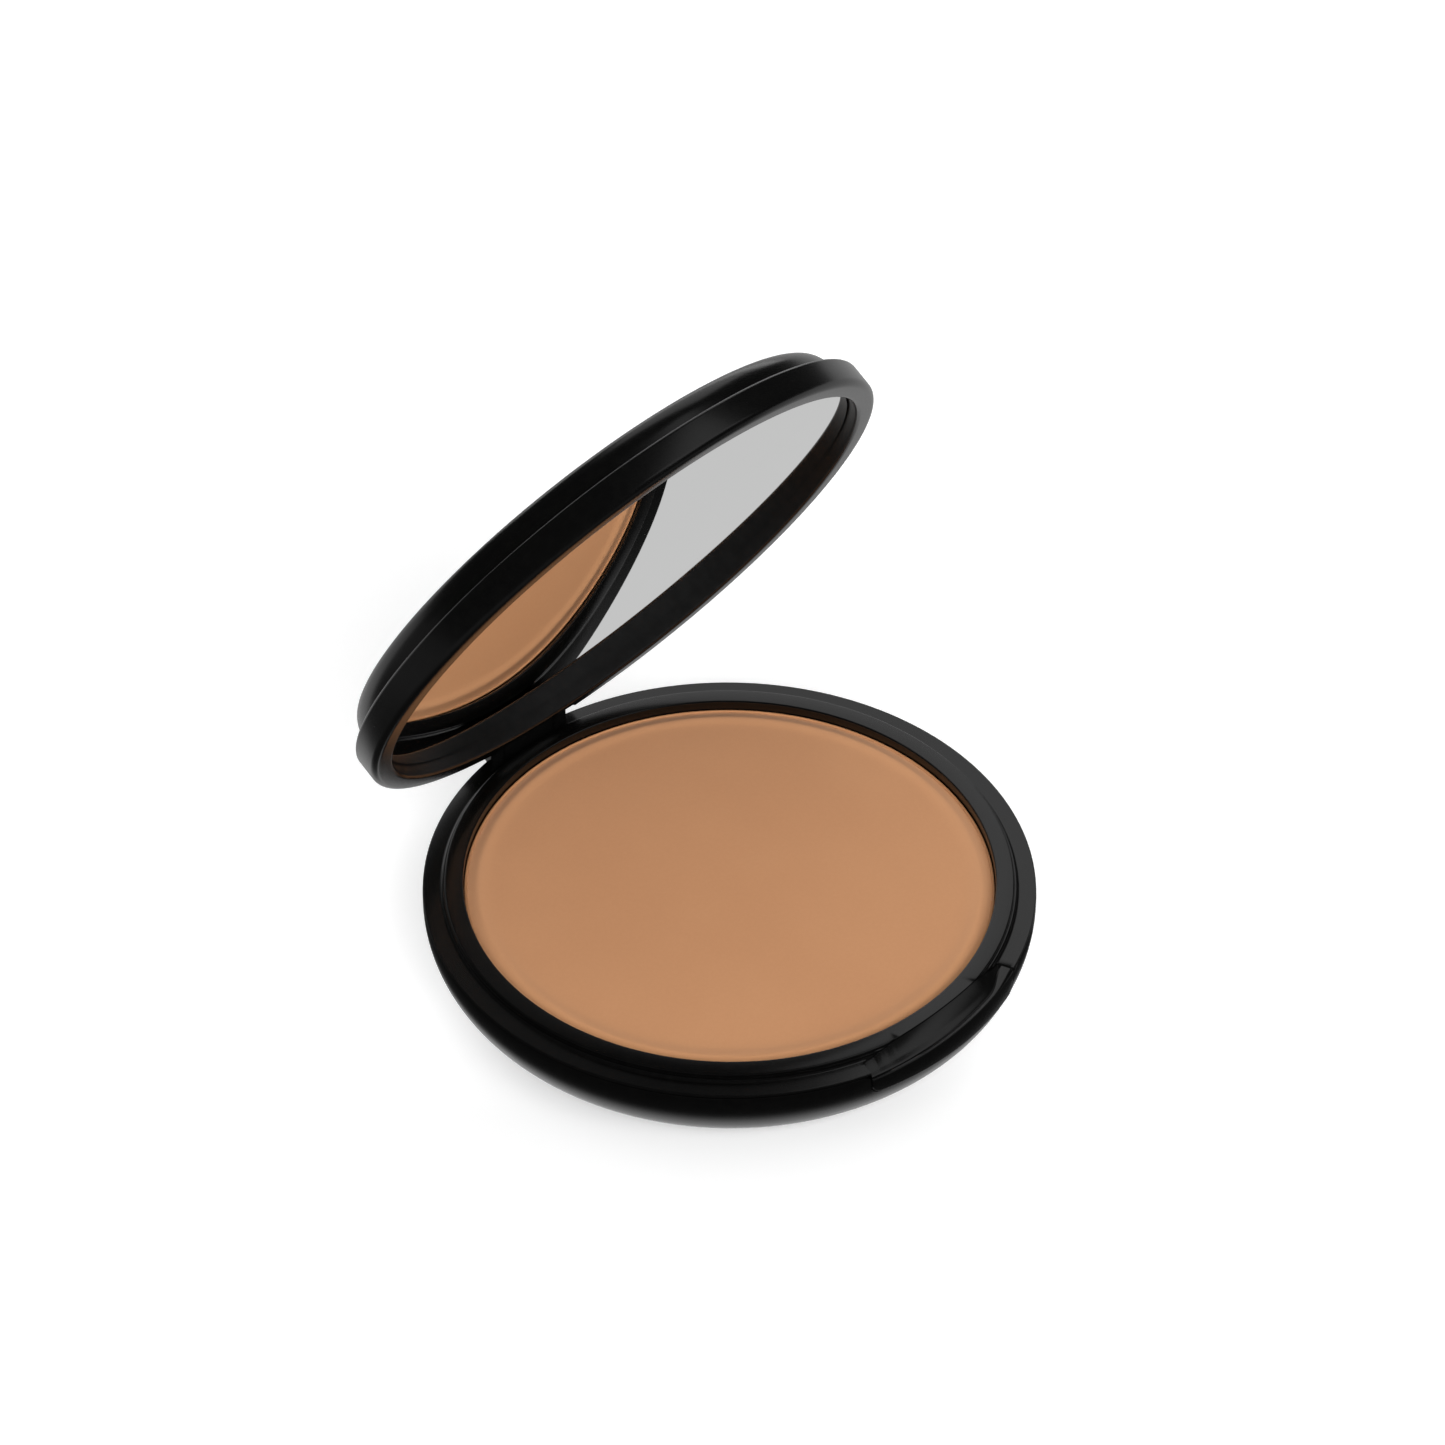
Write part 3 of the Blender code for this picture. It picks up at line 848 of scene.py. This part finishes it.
@dataclass(frozen=True)
class HingeLine:
    """Where the lid turns, read from the record, and the rods that lie on that line."""

    y: float
    z: float
    open_deg: float
    block_half: float = 5.8
    knuckle_r: float = 1.4
    bore_r: float = 0.63
    end_round: float = 0.12
    sides: int = 48
    bends: int = 5

    @staticmethod
    def from_record() -> "HingeLine":
        """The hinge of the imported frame."""
        joint = frame["joints"][0]
        return HingeLine(joint["pos_m"][1] / MM, joint["pos_m"][2] / MM, -joint["range_deg"][0])

    def opened(self, piece: bpy.types.Object) -> bpy.types.Object:
        """Turn a piece made for the closed lid up to the stored, open pose."""
        here = Vector((0.0, self.y, self.z)) * MM
        turn = Matrix.Rotation(-math.radians(self.open_deg), 4, "X")
        piece.data.transform(Matrix.Translation(here) @ turn @ Matrix.Translation(-here))
        return piece

    def rod(self, name: str, radius: float, start: float, end: float,
            round_mm: float = 0.0) -> bpy.types.Object:
        """A round rod on the hinge line, with rounded ends if asked.

        Args:
            name: name of the object.
            radius: the rod's radius.
            start: first end along X.
            end: last end along X.
            round_mm: radius of its end edges.

        Returns:
            The rod.
        """
        stations = [(start, radius), (end, radius)]
        if round_mm:
            bends = [QUARTER * step / self.bends for step in range(self.bends + 1)]
            first = [(start + round_mm * (1 - math.sin(t)), radius - round_mm * (1 - math.cos(t)))
                     for t in reversed(bends)]
            stations = first + [(start + end - x, r) for x, r in reversed(first)]
        sections = []
        for x, r in stations:
            circle = bent((self.y, self.z), r, 0.0, 2 * math.pi, self.sides)[:-1]
            sections.append([(x, y, z) for y, z in circle])
        return skinned(name, sections)


# ---------------------------------------------------------------- base


@dataclass
class ThumbNotch:
    """Sizes of the thumb notch at the front of the base, and its scooped surface.

    Turns are measured from the notch's middle, and positive ones lie towards +X.
    """

    turn: float = math.radians(2.3)
    half: float = math.radians(19.6)
    end_width: float = math.radians(0.42)
    brow_y: float = 31.45
    brow_bow: float = 61.0
    brow_step: float = 0.22
    lip_low: float = 8.55
    lip_high: float = 9.62
    lip_width: float = 0.26
    lip_round: float = 0.12
    patch_width: float = 0.75
    patch_round: float = 0.5
    crease: float = 0.24
    crease_at: float = 0.84
    shoulder_at: float = 0.60
    shoulder_share: float = 0.70
    rise_from: float = 0.55
    tab_r: float = 34.4
    tab_drop: float = 3.2
    tab_corner: float = 1.4
    tab_soft: Span = (0.25, 0.07)
    lip_reach: float = 1.15
    patch_from: float = 0.55
    patch_span: float = 0.45
    crease_fade: float = 0.3
    fall: float = 1.25
    plain_from: float = math.radians(2.6)
    beside: float = math.radians(1.5)
    middle_clear: float = 1.1
    corner_reach: float = 1.05

    def presence(self, turn: float) -> float:
        """1 inside the notch, 0 outside it, with a short smooth step at each end."""
        inside = (self.half - abs(turn)) / self.end_width + 0.5
        return eased(inside)

    def lift(self, turn: float) -> float:
        """How far the tab's lower edge is lifted by its rounded corner at a turn."""
        reach = (abs(turn) - self.half) * self.tab_r + self.tab_corner
        reach = min(self.tab_corner, max(0.0, reach))
        return self.tab_corner - math.sqrt(max(0.0, self.tab_corner ** 2 - reach ** 2))

    def brow(self, turn: float) -> float:
        """Radius of the slightly bowed line where the scoop starts, at a turn."""
        radius = self.brow_y / math.cos(turn)
        for _ in range(4):
            across = radius * math.sin(turn)
            radius = (self.brow_y - across ** 2 / (2 * self.brow_bow)) / math.cos(turn)
        return radius

    def lip(self, turn: float) -> tuple[float, float, float, float]:
        """Inner radius, outer radius, height and edge rounding of the lip at a turn."""
        share = (turn / self.half + 1) / 2
        height = self.lip_low + (self.lip_high - self.lip_low) * math.sin(
            QUARTER * min(1.0, max(0.0, share * self.lip_reach)))
        patch = eased((turn / self.half - self.patch_from) / self.patch_span)
        rounding = self.lip_round + (self.patch_round - self.lip_round) * patch
        outer = self.tab_r - rounding
        return outer - self.lip_width - self.patch_width * patch, outer, height, rounding

    def scoop(self, turn: float, start: Span, steps: int) -> Outline:
        """The hollow from the brow down to a crease and up to the lip.

        Args:
            turn: angle from the notch's middle.
            start: radius and height just under the brow.
            steps: number of points to give.

        Returns:
            The points, of which the last is the lip's inner edge.
        """
        inner, _, height, _ = self.lip(turn)
        end = eased((-turn / self.half - self.rise_from) / (1 - self.rise_from))
        low = height - self.crease * (1 - self.crease_fade * end)
        shoulder = start[1] + (low - start[1]) * self.shoulder_share
        points = []
        for step in range(1, steps + 1):
            share = step / steps
            if share <= self.shoulder_at:
                part = share / self.shoulder_at
                fallen = self.fall * part - (self.fall - 1) * part * part
                z = start[1] + (shoulder - start[1]) * fallen
            elif share <= self.crease_at:
                part = (share - self.shoulder_at) / (self.crease_at - self.shoulder_at)
                z = shoulder + (low - shoulder) * part
            else:
                part = (share - self.crease_at) / (1 - self.crease_at)
                z = low + (height - low) * part
            points.append((start[0] + (inner - start[0]) * share, z))
        return points

    def stations(self, plain: int = 168) -> list[float]:
        """Turns round the base, crowded at the notch's ends and its rounded corners."""
        around = {2 * math.pi * step / plain - math.pi for step in range(plain)}
        around = {turn for turn in around if abs(turn) > self.half + self.plain_from}
        corner = self.tab_corner / self.tab_r
        middle = self.half - corner * self.middle_clear
        around |= {middle * (step / 18 - 1) for step in range(37)}
        ends = [self.half - corner * self.corner_reach * (1 - math.sin(QUARTER * step / 14))
                for step in range(15)]
        ends += [self.half + self.end_width * (step / 8 - 0.5) for step in range(9)]
        ends.append(self.half + self.beside)
        around |= {side * turn for turn in ends for side in (-1, 1)}
        return sorted(around)


@dataclass
class Base:
    """The lower half: frame moulding, bowl, pan, cake, glue and label."""

    hinge: HingeLine
    notch: ThumbNotch = field(default_factory=ThumbNotch)
    plastic: MouldedPlastic = field(default_factory=MouldedPlastic)
    ledge_z: float = 9.7
    ledge_r: float = 34.35
    ring_h: float = 0.3
    ledge_round: float = 0.12
    collar_h: float = 0.9
    collar_r: float = 31.92
    collar_round: float = 0.2
    step_out: float = 0.17
    step_soft: float = 0.03
    step_drops: tuple[float, ...] = (0.34, 0.375, 0.38, 0.41)
    cove: float = 0.38
    well_r: float = 29.8
    well_floor: float = 4.7
    crown_r: float = 25.0
    swell_in: float = 1.4
    swell_width: float = 0.8
    border_fall: float = 0.26
    well_wall: float = 1.1
    floor_wall: float = 1.2
    push_hole_r: float = 2.5
    skirt_low: float = 6.9
    fit: float = 0.3
    seam: float = 0.09
    bowl_r: float = 34.38
    bowl_wall: float = 1.3
    foot_r: float = 26.0
    recess_r: float = 21.5
    recess_h: float = 0.35
    bowl_floor: float = 1.2
    side_top_drop: float = 0.9
    barrel_step: float = 0.15
    barrel_half: float = 3.9
    barrel_ease: tuple[Span, ...] = ((-0.3, 0.0), (-0.14, 0.02), (-0.05, 0.08))
    cheek_ease: tuple[Span, ...] = ((0.0, -0.03), (0.08, 0.0))
    cheek_soft: Span = (0.15, 0.045)
    root_drop: float = 0.6
    root_in: float = 0.4
    bore_reach: float = 2.0
    rim_round: float = 0.2
    well_bend: float = 1.5
    ring_soft: Span = (0.08, 0.02)
    recess_round: float = 0.1
    foot_soft: float = 0.08
    brim: Span = (0.12, 0.12)
    brim_middle: Span = (0.03, 0.035)
    brim_inner: float = 0.08
    brim_room: float = 0.1
    web_r: float = 1.0
    web_reach: float = 1.2
    pan_gap: float = 0.08
    pan_wall: float = 0.3
    pan_floor: float = 0.4
    cake_gap: float = 0.40
    swell: float = 0.12

    def collar_wall(self) -> Outline:
        """The collar's outer edge, its small step and the cove down to the ledge."""
        top, radius = self.ledge_z + self.collar_h, self.collar_r
        points = bent((radius - self.collar_round, top - self.collar_round),
                      self.collar_round, QUARTER, 0.0, 4)
        step = radius + self.step_out
        across = (radius, radius + self.step_soft, step - self.step_soft, step)
        points += [(r, top - drop) for r, drop in zip(across, self.step_drops)]
        points += bent((step + self.cove, self.ledge_z + self.cove), self.cove,
                       math.pi, 1.5 * math.pi, 7)
        return points

    def brow_cut(self, wall: Outline, radius: float) -> Outline:
        """The collar's wall as far as the brow, and the brow's small drop.

        Args:
            wall: the whole collar wall.
            radius: radius of the brow.

        Returns:
            As many points as the wall has.
        """
        kept = [point for point in wall if point[0] < radius]
        gone = len(wall) - len(kept)
        height = self.ledge_z
        for near, far in zip([(self.well_r, wall[0][1])] + wall, wall):
            if near[0] <= radius <= far[0] and far[0] > near[0]:
                height = near[1] + (far[1] - near[1]) * (radius - near[0]) / (far[0] - near[0])
        drop = self.notch.brow_step
        return kept + [(radius + 0.02 * step / gone, height - drop * step / gone)
                       for step in range(1, gone + 1)]

    def frame_outline(self, turn: float) -> Outline:
        """The frame moulding's outline at a turn from the middle of the notch.

        Args:
            turn: angle from the notch's middle, in radians.

        Returns:
            A closed outline that always has the same number of points.
        """
        notch, ledge = self.notch, self.ledge_z
        inside = notch.presence(turn)
        scoop_steps, edge_steps = 20, 6
        wall = self.collar_wall()
        flat = self.ledge_r - self.ledge_round
        foot = wall[-1][0]
        skirt_r = self.bowl_r - self.bowl_wall - self.fit
        ring_low = ledge - self.ring_h
        plain = wall + [(foot + (flat - foot) * step / (scoop_steps + 1), ledge)
                        for step in range(1, scoop_steps + 1)]
        plain += bent((flat, ledge - self.ledge_round), self.ledge_round,
                      QUARTER, 0.0, edge_steps)
        plain += softened(self.ledge_r, ring_low, self.ring_soft)
        plain += [(skirt_r, ring_low), (skirt_r, self.skirt_low)]
        section = plain
        if inside:
            cut = self.brow_cut(wall, min(notch.brow(turn), foot - 0.01))
            _, outer, height, rounding = notch.lip(turn)
            cut += notch.scoop(turn, cut[-1], scoop_steps)
            cut += bent((outer, height - rounding), rounding, QUARTER, 0.0, edge_steps)
            low = ledge - notch.tab_drop + notch.lift(turn)
            tab_in = skirt_r - self.fit
            cut += softened(notch.tab_r, low, notch.tab_soft)
            cut += [(tab_in, low), (tab_in, self.skirt_low)]
            section = [self._between(a, b, inside) for a, b in zip(plain, cut)]
        inner = self.well_r + self.well_wall
        bottom = self.well_floor - self.floor_wall
        rim, bend = self.rim_round, self.well_bend
        points = bent((self.well_r + rim, ledge + self.collar_h - rim), rim, math.pi, QUARTER, 6)
        points += section + [(inner, self.skirt_low)]
        points += bent((inner - bend, bottom + bend), bend, 0.0, -QUARTER, 8)
        points += [(self.push_hole_r, bottom), (self.push_hole_r, self.well_floor),
                   (self.well_r - rim, self.well_floor), (self.well_r, self.well_floor + rim)]
        return points

    @staticmethod
    def _between(a: Span, b: Span,
                 share: float) -> Span:
        """The point a share of the way from a to b."""
        return a[0] + (b[0] - a[0]) * share, a[1] + (b[1] - a[1]) * share

    def hinge_block(self) -> bpy.types.Object:
        """The hinge block: a slim barrel between two cheeks with softened ends."""
        sections = []
        half, barrel, cheek = self.hinge.block_half, self.barrel_half, self.hinge.knuckle_r
        slim, (soft, middle) = cheek - self.barrel_step, self.cheek_soft
        right = [(0.0, slim)] + [(barrel + x, slim + r) for x, r in self.barrel_ease]
        right += [(barrel + x, cheek + r) for x, r in self.cheek_ease]
        right += [(half - soft, cheek), (half - middle, cheek - middle), (half, cheek - soft)]
        widths = [(-x, r) for x, r in reversed(right)] + right[1:]
        root = self.ledge_z - self.root_drop
        for x, radius in widths:
            arch = bent((self.hinge.y, self.hinge.z), radius, math.pi, 0.0, 24)
            loop = arch + [(self.hinge.y + radius, self.ledge_z + self.collar_h),
                           (self.ledge_r - self.root_in, root), (self.hinge.y - radius, root)]
            sections.append([(x, y, z) for y, z in loop])
        return skinned("hinge_block_tool", sections)

    def build_frame(self) -> None:
        """Frame moulding with ledge, collar, notch and hinge block."""
        turns = self.notch.stations()
        frame_ring = stationed("frame_moulding", self.frame_outline, turns)
        frame_ring.data.transform(Matrix.Rotation(self.notch.turn, 4, "Z"))
        reach = self.hinge.block_half + self.bore_reach
        bore = self.hinge.rod("base_bore_tool", self.hinge.bore_r, -reach, reach)
        worked(frame_ring, [(self.hinge_block(), Cut.ON), (bore, Cut.AWAY)])
        mounted(frame_ring, self.plastic, Body.BASE, Slot.CASE, "base_frame")

    def side_radius(self, height: float, side_top: float, low: float, reach: float) -> float:
        """Radius of the bowl's rounded side at a height.

        Args:
            height: height above the table.
            side_top: height where the side is upright.
            low: height where the side leaves the foot.
            reach: distance from the foot's edge out to the widest point.

        Returns:
            The radius.
        """
        share = min(1.0, max(0.0, (height - low) / (side_top - low)))
        return self.foot_r + reach * math.sqrt(max(0.0, 1.0 - (1.0 - share) ** 2))

    def bowl_outline(self, turn: float) -> Outline:
        """The bowl's outline at a turn from the middle of the notch."""
        notch = self.notch
        plain_top = self.ledge_z - self.ring_h - self.seam
        side_top = plain_top - self.side_top_drop
        gap = self.seam / notch.tab_r
        shrunk = max(0.0, abs(turn) - gap)
        inside = notch.presence(shrunk)
        low_top = self.ledge_z - notch.tab_drop - self.seam + notch.lift(shrunk)
        top = plain_top + (low_top - plain_top) * inside
        outer_reach = self.bowl_r - self.foot_r
        inner_low = self.recess_h + self.bowl_floor
        brim_in, brim_down = self.brim
        round_r, soft = self.recess_round, self.foot_soft
        points = [(self.web_r, self.recess_h)]
        points += bent((self.recess_r - round_r, self.recess_h - round_r), round_r, QUARTER, 0.0, 4)
        points += [(self.recess_r, soft), (self.recess_r + soft, 0.0)]
        steps = 26
        for step in range(steps + 1):
            share = 1 - math.cos(QUARTER * step / steps)
            z = min(side_top, top - brim_down) * share
            points.append((self.side_radius(z, side_top, 0.0, outer_reach), z))
        edge = self.side_radius(top - brim_down, side_top, 0.0, outer_reach)
        points += [(edge, top - brim_down),
                   (edge - self.brim_middle[0], top - self.brim_middle[1]), (edge - brim_in, top)]
        inner_reach, soft = outer_reach - self.bowl_wall, self.brim_inner
        inner = self.side_radius(top, side_top, inner_low, inner_reach)
        points += [(inner + soft, top), (inner, top - soft)]
        steps = 14
        for step in range(steps + 1):
            share = 1 - math.cos(QUARTER * (1 - step / steps))
            z = inner_low + (min(side_top, top - self.brim_room) - inner_low) * share
            points.append((self.side_radius(z, side_top, inner_low, inner_reach), z))
        points.append((self.web_r, inner_low))
        return points

    def build_bowl(self) -> None:
        """Bottom cover, with a thin web that closes it at the centre."""
        bowl = stationed("bowl_cover", self.bowl_outline, self.notch.stations())
        bowl.data.transform(Matrix.Rotation(self.notch.turn, 4, "Z"))
        build = bmesh.new()
        build.from_mesh(bowl.data)
        for vertex in build.verts:
            if vertex.co.xy.length < self.web_reach * MM:
                vertex.co.x = vertex.co.y = 0.0
        welded(build, bowl.data)
        mounted(bowl, self.plastic, Body.BASE, Slot.CASE, "base_bowl")

    def build_pan(self) -> None:
        """Drawn pan whose wall ends in a small soft rim."""
        low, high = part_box("powder_pan")
        r, bottom, top = self.well_r - self.pan_gap, low.z / MM, high.z / MM
        wall, floor = self.pan_wall, self.pan_floor
        pan = lathe("pan_shell", [(0.0, bottom)] + filleted([
            (0.0, bottom, 0.0), (r, bottom, 0.45), (r, top, 0.13), (r - wall, top, 0.13),
            (r - wall, bottom + floor, 0.2), (0.0, bottom + floor, 0.0)])[1:])
        mounted(pan, DustedTinplate(), Body.BASE, Slot.PAN, "powder_pan")

    def build_cake(self) -> None:
        """Pressed cake: soft raised border, shallow valley, slightly crowned middle."""
        low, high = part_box("pressed_powder")
        edge, bottom, crest = self.well_r - self.cake_gap, low.z / MM, high.z / MM
        plateau = crest - self.swell
        surface = []
        for step in range(49):
            r = edge - (edge - self.crown_r) * step / 48
            rise = self.swell * math.exp(-((r - edge + self.swell_in) / self.swell_width) ** 2)
            fall = self.border_fall * eased(1 - (edge - r) / self.swell_in)
            surface.append((r, plateau + rise - fall))
        flat = surface[-1][1]
        middle = [(self.crown_r * (1 - step / 12), flat) for step in range(1, 13)]
        outline = [(0.0, bottom), (edge - 0.2, bottom), (edge, bottom + 0.2)]
        cake = lathe("powder_cake", outline + surface + middle, 256)
        mounted(cake, PressedPowder(), Body.BASE, Slot.POWDER, "pressed_powder")

    def build_hidden(self) -> None:
        """Glue spot under the pan and the blank label under the base."""
        low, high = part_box("pan_glue")
        glue = disc("glue_spot", (high.x / MM, low.z / MM, high.z / MM), 0.1, 96)
        mounted(glue, HotGlue(), Body.BASE, Slot.GLUE, "pan_glue")
        low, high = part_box("base_label")
        label = disc("foot_label", (high.x / MM, low.z / MM, high.z / MM), 0.05, 128, 3)
        mounted(label, LabelPaper(), Body.BASE, Slot.LABEL, "base_label")

    def build_pin(self) -> None:
        """Hinge pin with chamfered ends."""
        low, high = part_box("hinge_pin")
        pin = self.hinge.rod("hinge_wire", (high.z - low.z) / MM / 2, low.x / MM, high.x / MM,
                             self.hinge.end_round)
        mounted(pin, DrawnWire(), Body.BASE, Slot.PIN, "hinge_pin")

    def build(self) -> None:
        """Make every piece of the base."""
        self.build_frame()
        self.build_bowl()
        self.build_pan()
        self.build_cake()
        self.build_hidden()
        self.build_pin()


# ---------------------------------------------------------------- lid


@dataclass
class Lid:
    """The hinged half, made closed and then turned open about the hinge."""

    hinge: HingeLine
    plastic: MouldedPlastic = field(default_factory=MouldedPlastic)
    # A paler, duller copy of the case plastic for the lid's inside: its paler colour is painted
    # light on the inner wall, and its low gloss keeps the powder's reflection off.
    inside: MouldedPlastic = MouldedPlastic(
        label="moulded_black_inside_painted_light", colour=(0.0055, 0.0056, 0.0057),
        worn=(0.0075, 0.0076, 0.0077), roughness=0.38, gloss=0.12)
    rim_z: float = 9.95
    lid_r: float = 34.8
    open_r: float = 32.15
    mouth_round: float = 0.5
    flange_h: float = 3.65
    seat_r: float = 33.2
    seat_h: float = 2.3
    cover_r: float = 32.9
    cover_top: float = 7.0
    cover_wall: float = 1.2
    cover_roof: float = 1.3
    mirror_h: float = 1.62
    mirror_t: float = 0.85
    groove: float = 0.18
    seat_in_r: float = 29.5
    seat_t: float = 0.8
    tape_r: float = 24.0
    fit: float = 0.3
    bond: float = 0.15
    knuckle_w: float = 1.8
    rim_round: float = 0.8
    flange_round: float = 0.4
    seat_round: float = 0.12
    edge_round: float = 0.1
    path_in: float = 1.4
    lining: float = 0.1
    dome_in: float = 1.6
    dome_down: float = 2.4
    dome_foot: float = 3.0
    ledge_z: float = 9.7

    def build_ring(self) -> None:
        """Lid ring with its rim, hinge gap and two knuckles."""
        rim, edge = self.rim_z, self.edge_round
        flange, seat = rim + self.flange_h, rim + self.seat_h
        ring = swept_ring("lid_ring_moulding", filleted([
            (self.open_r, rim, self.mouth_round), (self.lid_r, rim, self.rim_round),
            (self.lid_r, flange, self.flange_round), (self.seat_r, flange, self.seat_round),
            (self.seat_r, seat, edge), (self.open_r, seat, edge)], 10),
            self.plastic, self.lid_r - self.path_in, 224)
        arch_r = self.hinge.knuckle_r + self.fit
        half = self.hinge.block_half + self.fit
        arch = bent((self.hinge.y, self.hinge.z), arch_r, math.pi, 0.0, 24)
        arch += [(self.hinge.y + arch_r, self.ledge_z), (self.hinge.y - arch_r, self.ledge_z)]
        gap = skinned("hinge_gap_tool", [[(x, y, h) for y, h in arch] for x in (-half, half)])
        tools = [(gap, Cut.AWAY)]
        for side in (-1, 1):
            ends = sorted((side * half, side * (half + self.knuckle_w)))
            knuckle = self.hinge.rod(f"knuckle_tool_{side + 1}", self.hinge.knuckle_r, *ends,
                                     self.hinge.end_round)
            tools.append((knuckle, Cut.ON))
        reach = half + self.knuckle_w + self.fit
        tools.append((self.hinge.rod("lid_bore_tool", self.hinge.bore_r, -reach, reach), Cut.AWAY))
        worked(ring, tools)
        # Faces inside the opening take the paler copy, painted light on the lid's inner wall.
        lining = [face.index for face in ring.data.polygons
                  if face.center.xy.length < (self.open_r + self.lining) * MM]
        mounted(self.hinge.opened(ring), self.plastic, Body.LID, Slot.CASE, "lid_ring")
        ring.data.materials.append(self.inside.material())
        for index in lining:
            ring.data.polygons[index].material_index = 1

    def build_cover(self) -> None:
        """Raised cover with a full rounded edge."""
        radius, inner = self.cover_r, self.cover_r - self.cover_wall
        top, foot = self.rim_z + self.cover_top, self.rim_z + self.seat_h + self.fit
        roof = top - self.cover_roof
        shoulder = [(radius - self.dome_in * (1 - math.sin(t)),
                     top - self.dome_down * (1 - math.cos(t)))
                    for t in (QUARTER * step / 16 for step in range(17))]
        points = [(0.0, top)] + shoulder
        points += filleted([(radius, top - self.dome_foot, 0.0), (radius, foot), (inner, foot),
                            (inner, roof, self.flange_round), (0.0, roof, 0.0)])[1:]
        cover = lathe("lid_cover_shell", points, 224)
        mounted(self.hinge.opened(cover), self.plastic, Body.LID, Slot.CASE, "lid_cover")

    def build_mirror(self) -> None:
        """Mirror glass with a ground edge, the ring behind it and the foam tape."""
        low, radius = self.rim_z + self.mirror_h, self.open_r - self.groove
        glass = disc("mirror_disc", (radius, low, low + self.mirror_t), self.edge_round, 224)
        mounted(self.hinge.opened(glass), SilveredGlass(), Body.LID, Slot.MIRROR, "mirror_glass")
        low += self.mirror_t + self.bond
        seat = self.cover_r - self.cover_wall - self.fit
        ring = swept_ring("mirror_seat_ring", filleted([
            (self.seat_in_r, low), (seat, low), (seat, low + self.seat_t),
            (self.seat_in_r, low + self.seat_t)], 4), self.inside, seat)
        mounted(self.hinge.opened(ring), self.inside, Body.LID, Slot.CASE, "mirror_frame")
        high = self.rim_z + self.cover_top - self.cover_roof - self.bond
        tape = disc("tape_disc", (self.tape_r, low, high), self.edge_round, 128)
        mounted(self.hinge.opened(tape), FoamTape(), Body.LID, Slot.TAPE, "mirror_tape")

    def build(self) -> None:
        """Make every piece of the lid."""
        self.build_ring()
        self.build_cover()
        self.build_mirror()


# ---------------------------------------------------------------- studio


@dataclass(frozen=True)
class Softbox:
    """One rectangular studio light."""

    name: str
    place: tuple[float, float, float]
    size: Span
    watts: float
    aim: tuple[float, float, float] = (0.0, 0.0, 0.01)
    mirrored: bool = True
    lit: bool = True

    def hang(self) -> None:
        """Put the light in the scene, facing its aim."""
        data = bpy.data.lights.new(self.name, "AREA")
        data.shape = "RECTANGLE"
        data.size, data.size_y = self.size
        data.energy = self.watts
        lamp = bpy.data.objects.new(self.name, data)
        bpy.context.scene.collection.objects.link(lamp)
        lamp.location = self.place
        facing = Vector(self.aim) - Vector(self.place)
        lamp.rotation_euler = facing.to_track_quat("-Z", "Y").to_euler()
        lamp.visible_glossy = self.mirrored
        lamp.visible_diffuse = self.lit
        lamp.visible_camera = False


@dataclass
class Studio:
    """Floor, lights and camera."""

    azimuth_deg: float = -44.244
    elevation_deg: float = 40.868
    roll_deg: float = 0.477
    distance: float = 0.6901
    target: tuple[float, float, float] = (0.02607, 0.02811, 0.0)
    lens: float = 145.63
    sky: float = 0.04
    sensor: float = 36.0
    clip: Span = (0.01, 20.0)
    floor_size: float = 6.0
    boxes: tuple[Softbox, ...] = (
        Softbox("overhead_box", (0.10, 0.15, 1.4), (1.6, 1.6), 6.0, mirrored=False),
        Softbox("front_box", (-0.45, -1.15, 0.80), (1.6, 1.2), 33.0, mirrored=False),
        Softbox("left_box", (-1.20, -0.20, 0.70), (1.2, 1.2), 8.0, mirrored=False),
        Softbox("back_box", (0.72, 0.85, 0.95), (1.0, 0.9), 2.3, lit=False),
        Softbox("rear_low_box", (0.75, 1.15, 0.30), (1.6, 0.4), 3.0, lit=False),
        Softbox("brow_box", (0.38, -0.52, 0.98), (0.8, 0.65), 1.1, lit=False),
    )

    def lay_floor(self) -> None:
        """A pale floor under the foot, with a painted glow and a painted reflection."""
        build = bmesh.new()
        bmesh.ops.create_grid(build, x_segments=1, y_segments=1, size=self.floor_size / 2)
        floor = settled(build, "studio_floor")
        floor.data.materials.append(PaleFloor().material())

    def light(self) -> None:
        """Soft sky and the studio boxes."""
        world = bpy.data.worlds.new("studio_sky")
        bpy.context.scene.world = world
        world.use_nodes = True
        background = world.node_tree.nodes["Background"]
        background.inputs["Color"].default_value = (1.0, 1.0, 1.0, 1.0)
        background.inputs["Strength"].default_value = self.sky
        for box in self.boxes:
            box.hang()
        bpy.context.scene.view_settings.view_transform = "Standard"

    def place_camera(self) -> None:
        """Camera on its arm about the target, with the small roll of the view."""
        az, el = math.radians(self.azimuth_deg), math.radians(self.elevation_deg)
        back = Vector((math.sin(az) * math.cos(el), -math.cos(az) * math.cos(el), math.sin(el)))
        data = bpy.data.cameras.new("studio_camera")
        data.sensor_width = self.sensor
        data.lens = self.lens
        data.clip_start, data.clip_end = self.clip
        camera = bpy.data.objects.new("studio_camera", data)
        bpy.context.scene.collection.objects.link(camera)
        level = (-back).to_track_quat("-Z", "Y").to_matrix().to_4x4()
        roll = Matrix.Rotation(math.radians(self.roll_deg), 4, "Z")
        stand = Matrix.Translation(Vector(self.target) + back * self.distance)
        camera.matrix_world = stand @ level @ roll
        bpy.context.scene.camera = camera

    def build(self) -> None:
        """Set the whole studio."""
        self.lay_floor()
        self.light()
        self.place_camera()


def main() -> None:
    """Build the compact and its studio."""
    logging.basicConfig(level=logging.INFO, format="%(message)s")
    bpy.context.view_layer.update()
    hinge = HingeLine.from_record()
    Studio().build()
    Base(hinge).build()
    Lid(hinge).build()


if __name__ == "__main__":
    main()
